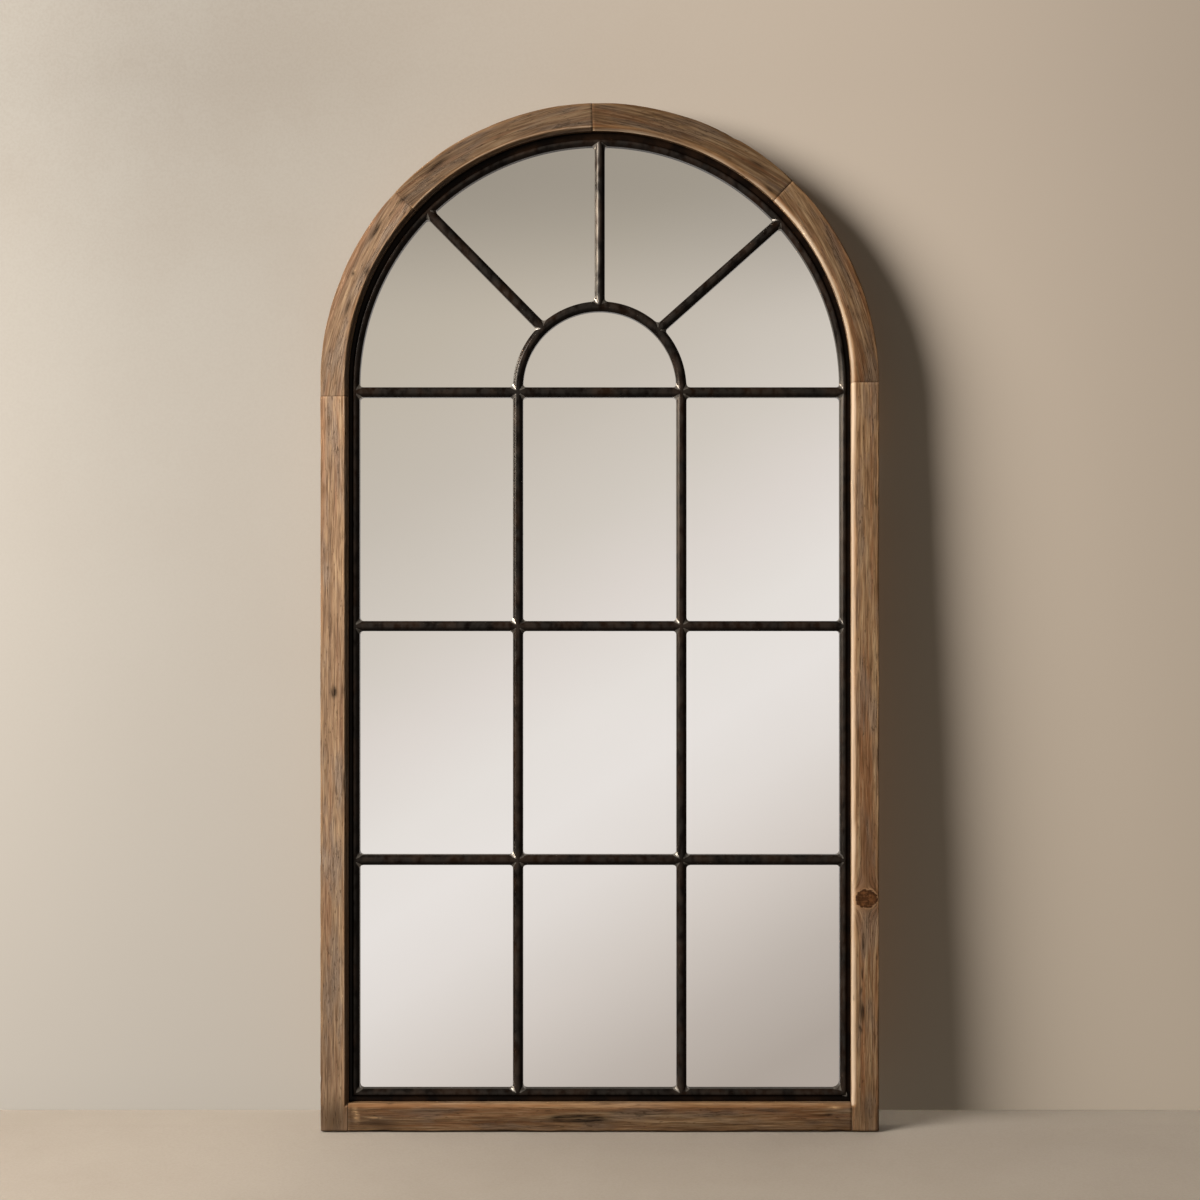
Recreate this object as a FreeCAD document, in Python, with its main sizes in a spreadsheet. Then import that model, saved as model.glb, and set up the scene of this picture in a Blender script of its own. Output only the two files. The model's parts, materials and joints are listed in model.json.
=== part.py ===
import FreeCAD, Part

import os

import Sketcher
from FreeCAD import Placement, Rotation, Vector

# An arched wall mirror with a window-pane grid.
# Frame: X to the right, the face looks along -Y, Z up, millimetres.
# The origin is on the floor, in the middle of the width and of the depth.

# Driving sizes: name, value, what it is
DRIVING_SIZES = [
    ("frame_width", 660, "outside width, which is twice the outside radius of the arch"),
    ("frame_depth", 33, "depth of the wood, front to back"),
    ("face_width", 32.5, "width of the wood on the stiles and the arch"),
    ("rail_height", 32.5, "height of the bottom rail"),
    ("inner_chamfer", 4.5, "worn chamfer round the opening"),
    ("edge_round", 1.5, "worn round on the outer edges"),
    ("lip_depth", 12.5, "depth of the lip in front of the rebate"),
    ("glass_rebate", 5.5, "width of the rebate for hoop and glass"),
    ("board_step", 8, "extra width of the rebate for the backing board"),
    ("left_tail", 16.5, "how far the left arch piece runs down below the springing"),
    ("right_joint_angle", 46.2, "degrees, joint on the right of the arch"),
    ("top_joint_angle", 91.6, "degrees, joint at the top of the arch"),
    ("left_joint_angle", 137.1, "degrees, joint on the left of the arch"),
    ("dowel_radius", 3, "dowels in the wood joints"),
    ("dowel_length", 30, "half of it in each piece"),
    ("dowel_front_depth", 7.5, "front row of dowels, below the face"),
    ("dowel_back_inset", 9, "back row of dowels, in front of the back of the wood"),
    ("dowel_fit", 0.05, "radial play of dowels and screws in their holes"),
    ("iron_recess", 9.5, "front of the iron below the face of the wood"),
    ("iron_depth", 10, "depth of the iron, front to back"),
    ("bar_width", 12, "width of a bar at the glass"),
    ("bar_flank", 4, "width and height of a bar's sloping flank"),
    ("hoop_face", 12.5, "width of the hoop that shows inside the wood"),
    ("sill_face", 14.5, "height of the sill that shows above the rail"),
    ("hoop_land", 2.5, "flat top of the hoop's bead"),
    ("hoop_heel", 1.5, "steep outer side of the hoop's bead"),
    ("hoop_play", 0.3, "between the hoop and the rebate"),
    ("muntin_offset", 97, "from the middle to a muntin, and the radius of the fan ring"),
    ("pane_height", 265.5, "height of a rectangular pane"),
    ("ring_stilt", 5, "centre of the fan ring above the middle of the upper crossbar"),
    ("springing_rise", 10.5, "springing of the arch above the middle of the upper crossbar"),
    ("left_spoke_angle", 44.6, "degrees, left spoke from upright"),
    ("left_spoke_shift", 1.8, "how far the left spoke misses the middle of the ring"),
    ("right_spoke_angle", 48.3, "degrees, right spoke from upright"),
    ("right_spoke_shift", 5.3, "how far the right spoke misses the middle of the ring"),
    ("weld_leg", 3.5, "leg of a weld fillet"),
    ("heavy_weld_leg", 7, "leg of the heavy weld in the lower right corner"),
    ("weld_sink", 0.6, "how far a weld bites into a curved bar before it is trimmed"),
    ("glass_thickness", 4, "silvered glass"),
    ("glass_play", 1, "between the glass and the rebate"),
    ("block_height", 1.5, "setting blocks under the glass"),
    ("block_length", 40, "setting blocks along the sill"),
    ("block_offset", 150, "from the middle to the middle of a setting block"),
    ("board_thickness", 3, "backing board"),
    ("board_play", 0.5, "between the board and its rebate"),
    ("tack_radius", 1.5, "shank of a backing screw"),
    ("tack_length", 12, "length of a backing screw under its head"),
    ("tack_head_radius", 3, "head of a backing screw"),
    ("tack_head_height", 1.8, "head of a backing screw"),
    ("bracket_hole_gap", 10, "between the end of a dowel and a bracket screw"),
    ("bracket_width", 12, "width of a corner bracket"),
    ("bracket_thickness", 2, "corner bracket"),
    ("screw_radius", 1.75, "shank of a bracket or hanger screw"),
    ("screw_length", 16, "length of a bracket or hanger screw under its head"),
    ("screw_head_radius", 3.4, "head of a bracket or hanger screw"),
    ("screw_head_height", 2, "head of a bracket or hanger screw"),
    ("hanger_drop", 84, "hinge line of the hangers below the springing"),
    ("strap_width", 12, "hanger strap"),
    ("strap_thickness", 1, "sheet that the strap is folded from"),
    ("hole_gap", 3.35, "between the foot of the ring and the upper screw head"),
    ("hole_pitch", 13, "between the two screws of a strap"),
    ("hole_margin", 7, "from the lower screw to the round end of the strap"),
    ("wire_radius", 1.25, "wire of the hanging ring"),
    ("hinge_play", 0.05, "radial play of the wire in the strap"),
    ("ring_clearance", 0.35, "between the hanging wire and the strap behind it"),
    ("ring_gap", 0.75, "between the side wire of the ring and the edge of the strap"),
    ("ring_side", 6, "straight side of the ring below its corner bend"),
    ("bumper_radius", 7, "round pads that keep the frame off the wall"),
    ("bumper_lead", 0.1, "how far the pads stand out past the hangers"),
    ("bumper_round", 2, "rounded rim of a pad"),
    ("bumper_gap", 19.5, "between a corner bracket and the pad above it"),
    ("bumper_angle", 60, "degrees, upper pads on the arch"),
    ("cut_overrun", 2, "how far every cutting shape runs past the wood"),
]

# Turns, in degrees
QUARTER_ANGLE = "90"
BACK_ANGLE = "-90"
HALF_ANGLE = "180"
FULL_ANGLE = "360"

# Counts
ARCH_SCREWS = 8
STILE_SCREWS = 3
RAIL_SCREWS = 3
CROSSBAR_ROWS = {"lower": 1, "middle": 2, "upper": 3}

doc = FreeCAD.newDocument("wall_mirror")
sheet = doc.addObject("Spreadsheet::Sheet", "sizes")
for row, (alias, amount, note) in enumerate(DRIVING_SIZES, 1):
    sheet.set(f"A{row}", alias)
    sheet.set(f"B{row}", str(amount))
    sheet.set(f"C{row}", note)
    sheet.setAlias(f"B{row}", alias)
doc.recompute()

# Hanger: a strap folded round the straight bar of a ring
HINGE_DEPTH = "(sizes.strap_thickness + sizes.wire_radius + sizes.ring_clearance)"
KNUCKLE_BORE = "(sizes.wire_radius + sizes.hinge_play)"
KNUCKLE = f"({KNUCKLE_BORE} + sizes.strap_thickness)"
RING_CORNER = "(sizes.wire_radius + sizes.ring_gap)"
RING_HALF = f"(sizes.strap_width / 2 + {RING_CORNER})"
RING_FOOT = f"({RING_CORNER} + sizes.ring_side + {RING_HALF})"
STRAP_FOLD = f"({RING_CORNER} + sizes.ring_side)"
UPPER_HOLE = f"({RING_FOOT} + sizes.wire_radius + sizes.hole_gap + sizes.screw_head_radius)"
LOWER_HOLE = f"({UPPER_HOLE} + sizes.hole_pitch)"
STRAP_LENGTH = f"({LOWER_HOLE} + sizes.hole_margin)"
BUMPER_HEIGHT = f"({HINGE_DEPTH} + {KNUCKLE} + sizes.bumper_lead)"

# Distances from the middle of the arch, outwards
OUTSIDE = "(sizes.frame_width / 2)"
OPENING = f"({OUTSIDE} - sizes.face_width)"
REBATE = f"({OPENING} + sizes.glass_rebate)"
BOARD_REBATE = f"({REBATE} + sizes.board_step)"
BOARD_EDGE = f"(({REBATE} + {BOARD_REBATE}) / 2)"
BACK_LAND = f"(({BOARD_REBATE} + {OUTSIDE}) / 2)"
HOOP_INSIDE = f"({OPENING} - sizes.hoop_face)"
HOOP_RIDGE = f"({HOOP_INSIDE} + sizes.bar_flank + sizes.hoop_land / 2)"
HOOP_OUTSIDE = f"({REBATE} - sizes.hoop_play)"

# Heights above the floor
REBATE_FLOOR = "(sizes.rail_height - sizes.glass_rebate)"
BOARD_FLOOR = f"({REBATE_FLOOR} - sizes.board_step)"
SILL_TOP = "(sizes.rail_height + sizes.sill_face)"

# Places along the depth, from the face of the wood to the wall
FACE = f"(-(sizes.frame_depth + {BUMPER_HEIGHT}) / 2)"
WOOD_BACK = f"({FACE} + sizes.frame_depth)"
REBATE_FRONT = f"({FACE} + sizes.lip_depth)"
IRON_FRONT = f"({FACE} + sizes.iron_recess)"
IRON_SHOULDER = f"({IRON_FRONT} + sizes.bar_flank)"
IRON_BACK = f"({IRON_FRONT} + sizes.iron_depth)"
GLASS_BACK = f"({IRON_BACK} + sizes.glass_thickness)"
BOARD_BACK = f"({GLASS_BACK} + sizes.board_thickness)"


def crossbar_height(number):
    """Height of the middle of a crossbar, counted upwards from 1."""
    return f"({SILL_TOP} + {number} * sizes.pane_height + ({number} - 1 / 2) * sizes.bar_width)"


TOP_CROSSBAR = crossbar_height(max(CROSSBAR_ROWS.values()))
RING_CENTRE = f"({TOP_CROSSBAR} + sizes.ring_stilt)"
SPRINGING = f"({TOP_CROSSBAR} + sizes.springing_rise)"
HANGER_HEIGHT = f"({SPRINGING} - sizes.hanger_drop)"


def value(expression):
    """Number that an expression on the sheet gives now."""
    return float(sheet.evalExpression(expression))


def bind(item, **properties):
    """Tie properties of an object to expressions on the sheet."""
    for name, expression in properties.items():
        item.setExpression(name, expression)


def place(item, x="0", y="0", z="0", turn="0"):
    """Put an object in its place, turned from the X axis towards the Z axis by some degrees."""
    spin = Rotation(Vector(0, -1, 0), value(turn))
    item.Placement = Placement(Vector(value(x), value(y), value(z)), spin)
    for axis, expression in (("x", x), ("y", y), ("z", z)):
        item.setExpression(f"Placement.Base.{axis}", expression)
    if "sizes." in turn:
        item.setExpression("Placement.Rotation.Angle", turn)
    return item


def new_body(name):
    """Empty body that carries the name of its piece."""
    body = doc.addObject("PartDesign::Body", name)
    body.Label = name
    return body


def new_sketch(body, name, role):
    """Empty sketch on one of the body's own origin planes."""
    sketch = body.newObject("Sketcher::SketchObject", name)
    plane = next(item for item in body.Origin.OriginFeatures if item.Role == role)
    sketch.AttachmentSupport = [(plane, "")]
    sketch.MapMode = "FlatFace"
    return sketch


def fix_point(sketch, side, end, x=None, y=None):
    """Tie a point of a sketch to expressions for its two places."""
    point = sketch.getPoint(side, end)
    for kind, expression, now in (("DistanceX", x, point.x), ("DistanceY", y, point.y)):
        if expression is not None:
            number = sketch.addConstraint(Sketcher.Constraint(kind, -1, 1, side, end, now))
            sketch.setExpression(f"Constraints[{number}]", expression)


def outline(body, name, role, corners):
    """Closed sketch through corners given as (x, y), or (x, y, arc) where an arc leaves the corner.

    An arc is (centre x, centre y, way), where way is 1 for anticlockwise and -1 for clockwise.
    """
    sketch = new_sketch(body, name, role)
    points = [Vector(value(corner[0]), value(corner[1]), 0) for corner in corners]
    count = len(corners)
    ends = []
    for number in range(count):
        first = points[number]
        last = points[(number + 1) % count]
        if len(corners[number]) == 2:
            sketch.addGeometry(Part.LineSegment(first, last), False)
            ends.append((1, 2))
            continue
        centre_x, centre_y, way = corners[number][2]
        centre = Vector(value(centre_x), value(centre_y), 0)
        low, high = (first, last) if way > 0 else (last, first)
        circle = Part.Circle(centre, Vector(0, 0, 1), (first - centre).Length)
        arc = Part.ArcOfCircle(circle, circle.parameter(low), circle.parameter(high))
        sketch.addGeometry(arc, False)
        ends.append((1, 2) if way > 0 else (2, 1))
        if abs(last.x - first.x) > abs(last.y - first.y):
            fix_point(sketch, number, 3, y=centre_y)
        else:
            fix_point(sketch, number, 3, x=centre_x)
    for number in range(count):
        after = (number + 1) % count
        joint = (number, ends[number][1], after, ends[after][0])
        sketch.addConstraint(Sketcher.Constraint("Coincident", *joint))
    for number in range(count):
        fix_point(sketch, number, ends[number][0], corners[number][0], corners[number][1])
    return sketch


def disc(body, name, role, x, y, radius):
    """Sketch of one circle."""
    sketch = new_sketch(body, name, role)
    middle = Vector(value(x), value(y), 0)
    sketch.addGeometry(Part.Circle(middle, Vector(0, 0, 1), value(radius)), False)
    fix_point(sketch, 0, 3, x, y)
    number = sketch.addConstraint(Sketcher.Constraint("Radius", 0, value(radius)))
    sketch.setExpression(f"Constraints[{number}]", radius)
    return sketch


def pad(body, sketch, length, reverse=False, midplane=False):
    """Push a sketch out along its normal."""
    feature = body.newObject("PartDesign::Pad", f"{sketch.Name}_pad")
    feature.Profile = sketch
    feature.Reversed = reverse
    feature.Midplane = midplane
    bind(feature, Length=length)
    return feature


def pocket(body, sketch):
    """Cut a sketch through the whole body, both ways."""
    feature = body.newObject("PartDesign::Pocket", f"{sketch.Name}_pocket")
    feature.Profile = sketch
    feature.Type = "ThroughAll"
    feature.Midplane = True
    return feature


def revolve(body, sketch, angle):
    """Turn a sketch about the body's own Y axis, away from its Z axis."""
    feature = body.newObject("PartDesign::Revolution", f"{sketch.Name}_turned")
    feature.Profile = sketch
    feature.ReferenceAxis = (sketch, ["V_Axis"])
    bind(feature, Angle=angle)
    return feature


def group(label, items):
    """Several separate solids under one name."""
    compound = doc.addObject("Part::Compound", label)
    compound.Links = items
    return compound


def carve(label, base, *tools):
    """Cut each tool from the base in turn."""
    for number, tool in enumerate(tools, 1):
        last = number == len(tools)
        cut = doc.addObject("Part::Cut", label if last else f"{label}_stage{number}")
        cut.Base = base
        cut.Tool = tool
        base = cut
    return base


def copies(name, item, places):
    """Linked copies of one item, one at each (x, y, z, turn)."""
    links = []
    for number, (x, y, z, turn) in enumerate(places, 1):
        link = doc.addObject("App::Link", f"{name}_{number}")
        link.LinkedObject = item
        links.append(place(link, x, y, z, turn))
    return links


# Shapes of the opening that are cut after the frame is joined

def arch_corners(radius, floor):
    """Corners of an arched outline: flat floor, straight sides and a half-round top."""
    return [
        (f"-{radius}", floor),
        (radius, floor),
        (radius, SPRINGING, ("0", SPRINGING, 1)),
        (f"-{radius}", SPRINGING),
    ]


def arched_plate(name, radius, floor, depth, thickness):
    """Arched slab whose front is at a given depth."""
    body = new_body(name)
    sketch = outline(body, f"{name}_outline", "XZ_Plane", arch_corners(radius, floor))
    pad(body, sketch, thickness, reverse=True)
    return place(body, y=depth)


def chamfer_cutter():
    """Tapered slab that narrows from the face inwards and leaves the worn chamfer."""
    reach = "(sizes.inner_chamfer + sizes.cut_overrun)"
    front = f"({FACE} - sizes.cut_overrun)"
    wide = f"({OPENING} + {reach})"
    straight = doc.addObject("Part::Wedge", "chamfer_straight")
    bind(straight, Ymin=front, Xmin=f"-{wide}", Xmax=wide)
    bind(straight, Zmin=f"(sizes.rail_height - {reach})", Zmax=SPRINGING)
    bind(straight, Ymax=f"({front} + {reach})", X2min=f"-{OPENING}", X2max=OPENING)
    bind(straight, Z2min="sizes.rail_height", Z2max=SPRINGING)
    bend = doc.addObject("Part::Cone", "chamfer_bend")
    bind(bend, Radius1=wide, Radius2=OPENING, Height=reach)
    backwards = Rotation(Vector(1, 0, 0), float(BACK_ANGLE))
    bend.Placement = Placement(Vector(0, value(front), value(SPRINGING)), backwards)
    bend.setExpression("Placement.Base.y", front)
    bend.setExpression("Placement.Base.z", SPRINGING)
    cutter = doc.addObject("Part::Fuse", "chamfer_cutter")
    cutter.Base = straight
    cutter.Tool = bend
    return cutter


opening_cutters = [
    chamfer_cutter(),
    arched_plate("glass_rebate_cutter", REBATE, REBATE_FLOOR, REBATE_FRONT,
                 f"({WOOD_BACK} + sizes.cut_overrun - {REBATE_FRONT})"),
    arched_plate("board_rebate_cutter", BOARD_REBATE, BOARD_FLOOR, GLASS_BACK,
                 f"({WOOD_BACK} + sizes.cut_overrun - {GLASS_BACK})"),
]

# Dowels: two in each wood joint, along the pieces

RAIL_JOINT_DROP = f"({BACK_LAND} + {BOARD_FLOOR} / 2)"
WOOD_JOINTS = {
    "right_springing": ("0", SPRINGING, "0"),
    "left_springing": ("0", f"({SPRINGING} - sizes.left_tail)", HALF_ANGLE),
    "right_arch": ("0", SPRINGING, "sizes.right_joint_angle"),
    "top_arch": ("0", SPRINGING, "sizes.top_joint_angle"),
    "left_arch": ("0", SPRINGING, "sizes.left_joint_angle"),
    "right_rail": (OPENING, RAIL_JOINT_DROP, BACK_ANGLE),
    "left_rail": (f"-{OPENING}", RAIL_JOINT_DROP, BACK_ANGLE),
}


def peg_pair(name, joint, radius, length):
    """Front and back pegs that cross one wood joint."""
    pegs = []
    front = f"({FACE} + sizes.dowel_front_depth)"
    back = f"({WOOD_BACK} - sizes.dowel_back_inset)"
    for row, depth in (("front", front), ("back", back)):
        peg = doc.addObject("Part::Cylinder", f"{name}_{row}")
        bind(peg, Radius=radius, Height=length)
        pegs.append(place(peg, x=BACK_LAND, y=depth, z=f"(-{length} / 2)"))
    x, z, turn = WOOD_JOINTS[joint]
    return place(group(name, pegs), x=x, z=z, turn=turn)


frame_dowels = group("frame_dowels", [
    peg_pair(f"{joint}_dowels", joint, "sizes.dowel_radius", "sizes.dowel_length") for joint in WOOD_JOINTS
])
dowel_holes = group("dowel_holes", [
    peg_pair(f"{joint}_holes", joint, "(sizes.dowel_radius + sizes.dowel_fit)",
             "(sizes.dowel_length + 2 * sizes.dowel_fit)") for joint in WOOD_JOINTS
])

# Screws: the seat of the head is at the screw's own origin, the head looks backwards


def screw_shape(name, radius, length, head_radius, head_height):
    """Pan-head screw turned about its own axis, with a plain pointed shank."""
    body = new_body(name)
    corners = [
        ("0", f"-{length}"),
        (radius, f"({radius} - {length})"),
        (radius, "0"),
        (head_radius, "0"),
        (head_radius, f"({head_height} / 2)"),
        (f"({head_radius} / 2)", head_height),
        ("0", head_height),
    ]
    revolve(body, outline(body, f"{name}_profile", "XY_Plane", corners), FULL_ANGLE)
    return body


def screw_hole(name, radius, length):
    """Hole for one screw, from behind its seat to its point."""
    body = new_body(name)
    corners = [
        ("0", f"(-{length} - sizes.dowel_fit)"),
        (f"({radius} + sizes.dowel_fit)", f"({radius} - {length} - sizes.dowel_fit)"),
        (f"({radius} + sizes.dowel_fit)", "sizes.cut_overrun"),
        ("0", "sizes.cut_overrun"),
    ]
    revolve(body, outline(body, f"{name}_profile", "XY_Plane", corners), FULL_ANGLE)
    return body


def tack_places():
    """Backing screws: round the arch, up both stiles and along the rail."""
    places = []
    for number in range(ARCH_SCREWS):
        angle = f"({number} + 1 / 2) * {HALF_ANGLE} / {ARCH_SCREWS}"
        height = f"{SPRINGING} + {BOARD_EDGE} * sin({angle})"
        places.append((f"{BOARD_EDGE} * cos({angle})", BOARD_BACK, height, "0"))
    for number in range(STILE_SCREWS):
        for side in ("", "-"):
            height = f"({number} + 1 / 2) * {SPRINGING} / {STILE_SCREWS}"
            places.append((f"{side}{BOARD_EDGE}", BOARD_BACK, height, "0"))
    for number in range(RAIL_SCREWS):
        across = f"((2 * {number} + 1) / {RAIL_SCREWS} - 1) * {OPENING}"
        places.append((across, BOARD_BACK, f"({REBATE_FLOOR} + {BOARD_FLOOR}) / 2", "0"))
    return places


BRACKET_MARGIN = f"(({OUTSIDE} - {BOARD_REBATE} - sizes.bracket_width) / 2)"
BRACKET_CORNER = f"({BRACKET_MARGIN} + sizes.bracket_width / 2)"
BRACKET_END = f"({OUTSIDE} - {OPENING} + sizes.dowel_length / 2 + sizes.bracket_hole_gap)"
BRACKET_LENGTH = f"({BRACKET_END} - {BRACKET_MARGIN} + sizes.bracket_width / 2)"


def bracket_screw_places():
    """Three screws in each corner bracket."""
    seat = f"({WOOD_BACK} + sizes.bracket_thickness)"
    spots = [(BRACKET_CORNER, BRACKET_CORNER), (BRACKET_END, BRACKET_CORNER), (BRACKET_CORNER, BRACKET_END)]
    places = []
    for side in ("", "-"):
        for inset, height in spots:
            places.append((f"{side}({OUTSIDE} - {inset})", seat, height, "0"))
    return places


def hanger_screw_places():
    """Two screws in each hanger strap."""
    seat = f"({WOOD_BACK} + sizes.strap_thickness)"
    places = []
    for side in ("", "-"):
        for drop in (UPPER_HOLE, LOWER_HOLE):
            places.append((f"{side}{BACK_LAND}", seat, f"{HANGER_HEIGHT} - {drop}", "0"))
    return places


tack_sizes = ("sizes.tack_radius", "sizes.tack_length")
screw_sizes = ("sizes.screw_radius", "sizes.screw_length")
tack = screw_shape("tack", *tack_sizes, "sizes.tack_head_radius", "sizes.tack_head_height")
screw = screw_shape("screw", *screw_sizes, "sizes.screw_head_radius", "sizes.screw_head_height")
tack_hole = screw_hole("tack_hole", *tack_sizes)
screw_hole_shape = screw_hole("screw_hole", *screw_sizes)
hardware_places = bracket_screw_places() + hanger_screw_places()
backing_screws = group("backing_screws", copies("backing_screw", tack, tack_places()))
hardware_screws = group("hardware_screws", copies("hardware_screw", screw, hardware_places))
tack_holes = group("tack_holes", copies("tack_bore", tack_hole, tack_places()))
hardware_holes = group("hardware_holes", copies("hardware_bore", screw_hole_shape, hardware_places))

# Wooden frame


def wood_section(body, name, inside, outside):
    """Section of the wood, with its two outer edges worn round."""
    rounded = f"({outside} - sizes.edge_round)"
    front_round = f"({FACE} + sizes.edge_round)"
    back_round = f"({WOOD_BACK} - sizes.edge_round)"
    return outline(body, name, "XY_Plane", [
        (inside, FACE),
        (rounded, FACE, (rounded, front_round, 1)),
        (outside, front_round),
        (outside, back_round, (rounded, back_round, 1)),
        (rounded, WOOD_BACK),
        (inside, WOOD_BACK),
    ])


def finish_wood(label, blank):
    """Cut the opening, the dowel holes and the screw holes into one piece of wood."""
    return carve(label, blank, *opening_cutters, dowel_holes, tack_holes, hardware_holes)


def stile(label, height, z, turn):
    """Upright from the floor to its joint with the arch."""
    body = new_body(f"{label}_blank")
    pad(body, wood_section(body, f"{label}_section", OPENING, OUTSIDE), height)
    return finish_wood(label, place(body, z=z, turn=turn))


def bottom_rail():
    """Rail between the stiles, on the floor."""
    body = new_body("bottom_rail_blank")
    section = wood_section(body, "bottom_rail_section", f"({OUTSIDE} - sizes.rail_height)", OUTSIDE)
    pad(body, section, f"(2 * {OPENING})", midplane=True)
    return finish_wood("bottom_rail", place(body, z=OUTSIDE, turn=BACK_ANGLE))


def arch_piece(label, start, end, tail=None):
    """Curved piece of the arch between two joint angles, with a straight tail below it if it has one."""
    body = new_body(f"{label}_blank")
    revolve(body, wood_section(body, f"{label}_section", OPENING, OUTSIDE), f"({end} - {start})")
    if tail:
        pad(body, wood_section(body, f"{label}_tail", OPENING, OUTSIDE), tail)
    return finish_wood(label, place(body, z=SPRINGING, turn=end))


LEFT_STILE_HEIGHT = f"({SPRINGING} - sizes.left_tail)"
wood_pieces = [
    stile("left_stile", LEFT_STILE_HEIGHT, LEFT_STILE_HEIGHT, HALF_ANGLE),
    stile("right_stile", SPRINGING, "0", "0"),
    bottom_rail(),
    arch_piece("arch_left_lower", "sizes.left_joint_angle", HALF_ANGLE, "sizes.left_tail"),
    arch_piece("arch_left_upper", "sizes.top_joint_angle", "sizes.left_joint_angle"),
    arch_piece("arch_right_upper", "sizes.right_joint_angle", "sizes.top_joint_angle"),
    arch_piece("arch_right_lower", "0", "sizes.right_joint_angle"),
]

# Iron grid


def bar_section(body, name, middle="0"):
    """Section of a bar: square sides at the glass, sloping flanks and a narrow land in front."""
    half = "sizes.bar_width / 2"
    land = "(sizes.bar_width / 2 - sizes.bar_flank)"
    return outline(body, name, "XY_Plane", [
        (f"{middle} - {half}", IRON_BACK),
        (f"{middle} - {half}", IRON_SHOULDER),
        (f"{middle} - {land}", IRON_FRONT),
        (f"{middle} + {land}", IRON_FRONT),
        (f"{middle} + {half}", IRON_SHOULDER),
        (f"{middle} + {half}", IRON_BACK),
    ])


def hoop_section(body, name, outside, side=""):
    """Section of the hoop: a bead beside the glass and a flange that runs under the wood."""
    land_start = f"({HOOP_INSIDE} + sizes.bar_flank)"
    land_end = f"({land_start} + sizes.hoop_land)"
    heel = f"({land_end} + sizes.hoop_heel)"
    return outline(body, name, "XY_Plane", [
        (f"{side}{HOOP_INSIDE}", IRON_BACK),
        (f"{side}{HOOP_INSIDE}", IRON_SHOULDER),
        (f"{side}{land_start}", IRON_FRONT),
        (f"{side}{land_end}", IRON_FRONT),
        (f"{side}{heel}", REBATE_FRONT),
        (f"{side}{outside}", REBATE_FRONT),
        (f"{side}{outside}", IRON_BACK),
    ])


def sill_wedge():
    """Space of the sill, with both ends mitred from the corners of the opening."""
    reach = f"({SILL_TOP} - {REBATE_FLOOR} + sizes.cut_overrun)"
    body = new_body("sill_wedge")
    sketch = outline(body, "sill_wedge_outline", "XZ_Plane", [
        (f"-{HOOP_INSIDE}", SILL_TOP),
        (f"-({HOOP_INSIDE} + {reach})", f"({SILL_TOP} - {reach})"),
        (f"({HOOP_INSIDE} + {reach})", f"({SILL_TOP} - {reach})"),
        (HOOP_INSIDE, SILL_TOP),
    ])
    pad(body, sketch, f"({IRON_BACK} - {FACE} + sizes.cut_overrun)", reverse=True)
    return place(body, y=FACE)


def hoop_arch(wedge):
    """Bent bar: two legs and the arch, mitred to the sill."""
    body = new_body("hoop_bar")
    leg = f"({SPRINGING} - {REBATE_FLOOR})"
    revolve(body, hoop_section(body, "hoop_bend", HOOP_OUTSIDE), HALF_ANGLE)
    pad(body, hoop_section(body, "hoop_left_leg", HOOP_OUTSIDE), leg)
    pad(body, hoop_section(body, "hoop_right_leg", HOOP_OUTSIDE, "-"), leg)
    return carve("hoop_arch", place(body, z=SPRINGING, turn=HALF_ANGLE), wedge)


def hoop_sill(wedge):
    """Bottom bar of the hoop, standing on the rebate of the rail."""
    body = new_body("sill_bar")
    section = hoop_section(body, "sill_section", f"({SILL_TOP} + {HOOP_INSIDE} - {REBATE_FLOOR})")
    pad(body, section, f"(2 * {HOOP_OUTSIDE})", midplane=True)
    place(body, z=f"({SILL_TOP} + {HOOP_INSIDE})", turn=BACK_ANGLE)
    sill = doc.addObject("Part::Common", "hoop_sill")
    sill.Base = body
    sill.Tool = wedge
    return sill


def muntin(label, side, sill):
    """Upright bar from the sill to the foot of the fan ring."""
    body = new_body(f"{label}_bar")
    start = f"({SILL_TOP} - sizes.bar_flank - sizes.hoop_land / 2)"
    pad(body, bar_section(body, f"{label}_section"), f"({RING_CENTRE} - {start})")
    return carve(label, place(body, x=f"{side}sizes.muntin_offset", z=start), sill)


def fan_ring():
    """Half-round bar that stands on the tops of the muntins."""
    body = new_body("fan_ring")
    revolve(body, bar_section(body, "fan_ring_section", "sizes.muntin_offset"), HALF_ANGLE)
    return place(body, z=RING_CENTRE, turn=HALF_ANGLE)


def crossbar(label, start, end, height, uprights):
    """Short bar between two uprights, with its ends coped to them."""
    body = new_body(f"{label}_bar")
    pad(body, bar_section(body, f"{label}_section"), f"({end} - {start})")
    return carve(label, place(body, x=start, z=height, turn=BACK_ANGLE), uprights)


wedge = sill_wedge()
hoop = hoop_arch(wedge)
sill = hoop_sill(wedge)
left_muntin = muntin("muntin_left", "-", sill)
right_muntin = muntin("muntin_right", "", sill)
ring = fan_ring()
uprights = doc.addObject("Part::MultiFuse", "uprights")
uprights.Shapes = [hoop, left_muntin, right_muntin, ring]

CROSSBAR_SPANS = {
    "left": (f"-{HOOP_RIDGE}", "-sizes.muntin_offset"),
    "centre": ("-sizes.muntin_offset", "sizes.muntin_offset"),
    "right": ("sizes.muntin_offset", HOOP_RIDGE),
}
crossbars = []
for row_name, row_number in CROSSBAR_ROWS.items():
    for span_name, (span_start, span_end) in CROSSBAR_SPANS.items():
        crossbar_label = f"crossbar_{row_name}_{span_name}"
        row_height = crossbar_height(row_number)
        crossbars.append(crossbar(crossbar_label, span_start, f"({span_end})", row_height, uprights))

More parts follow.
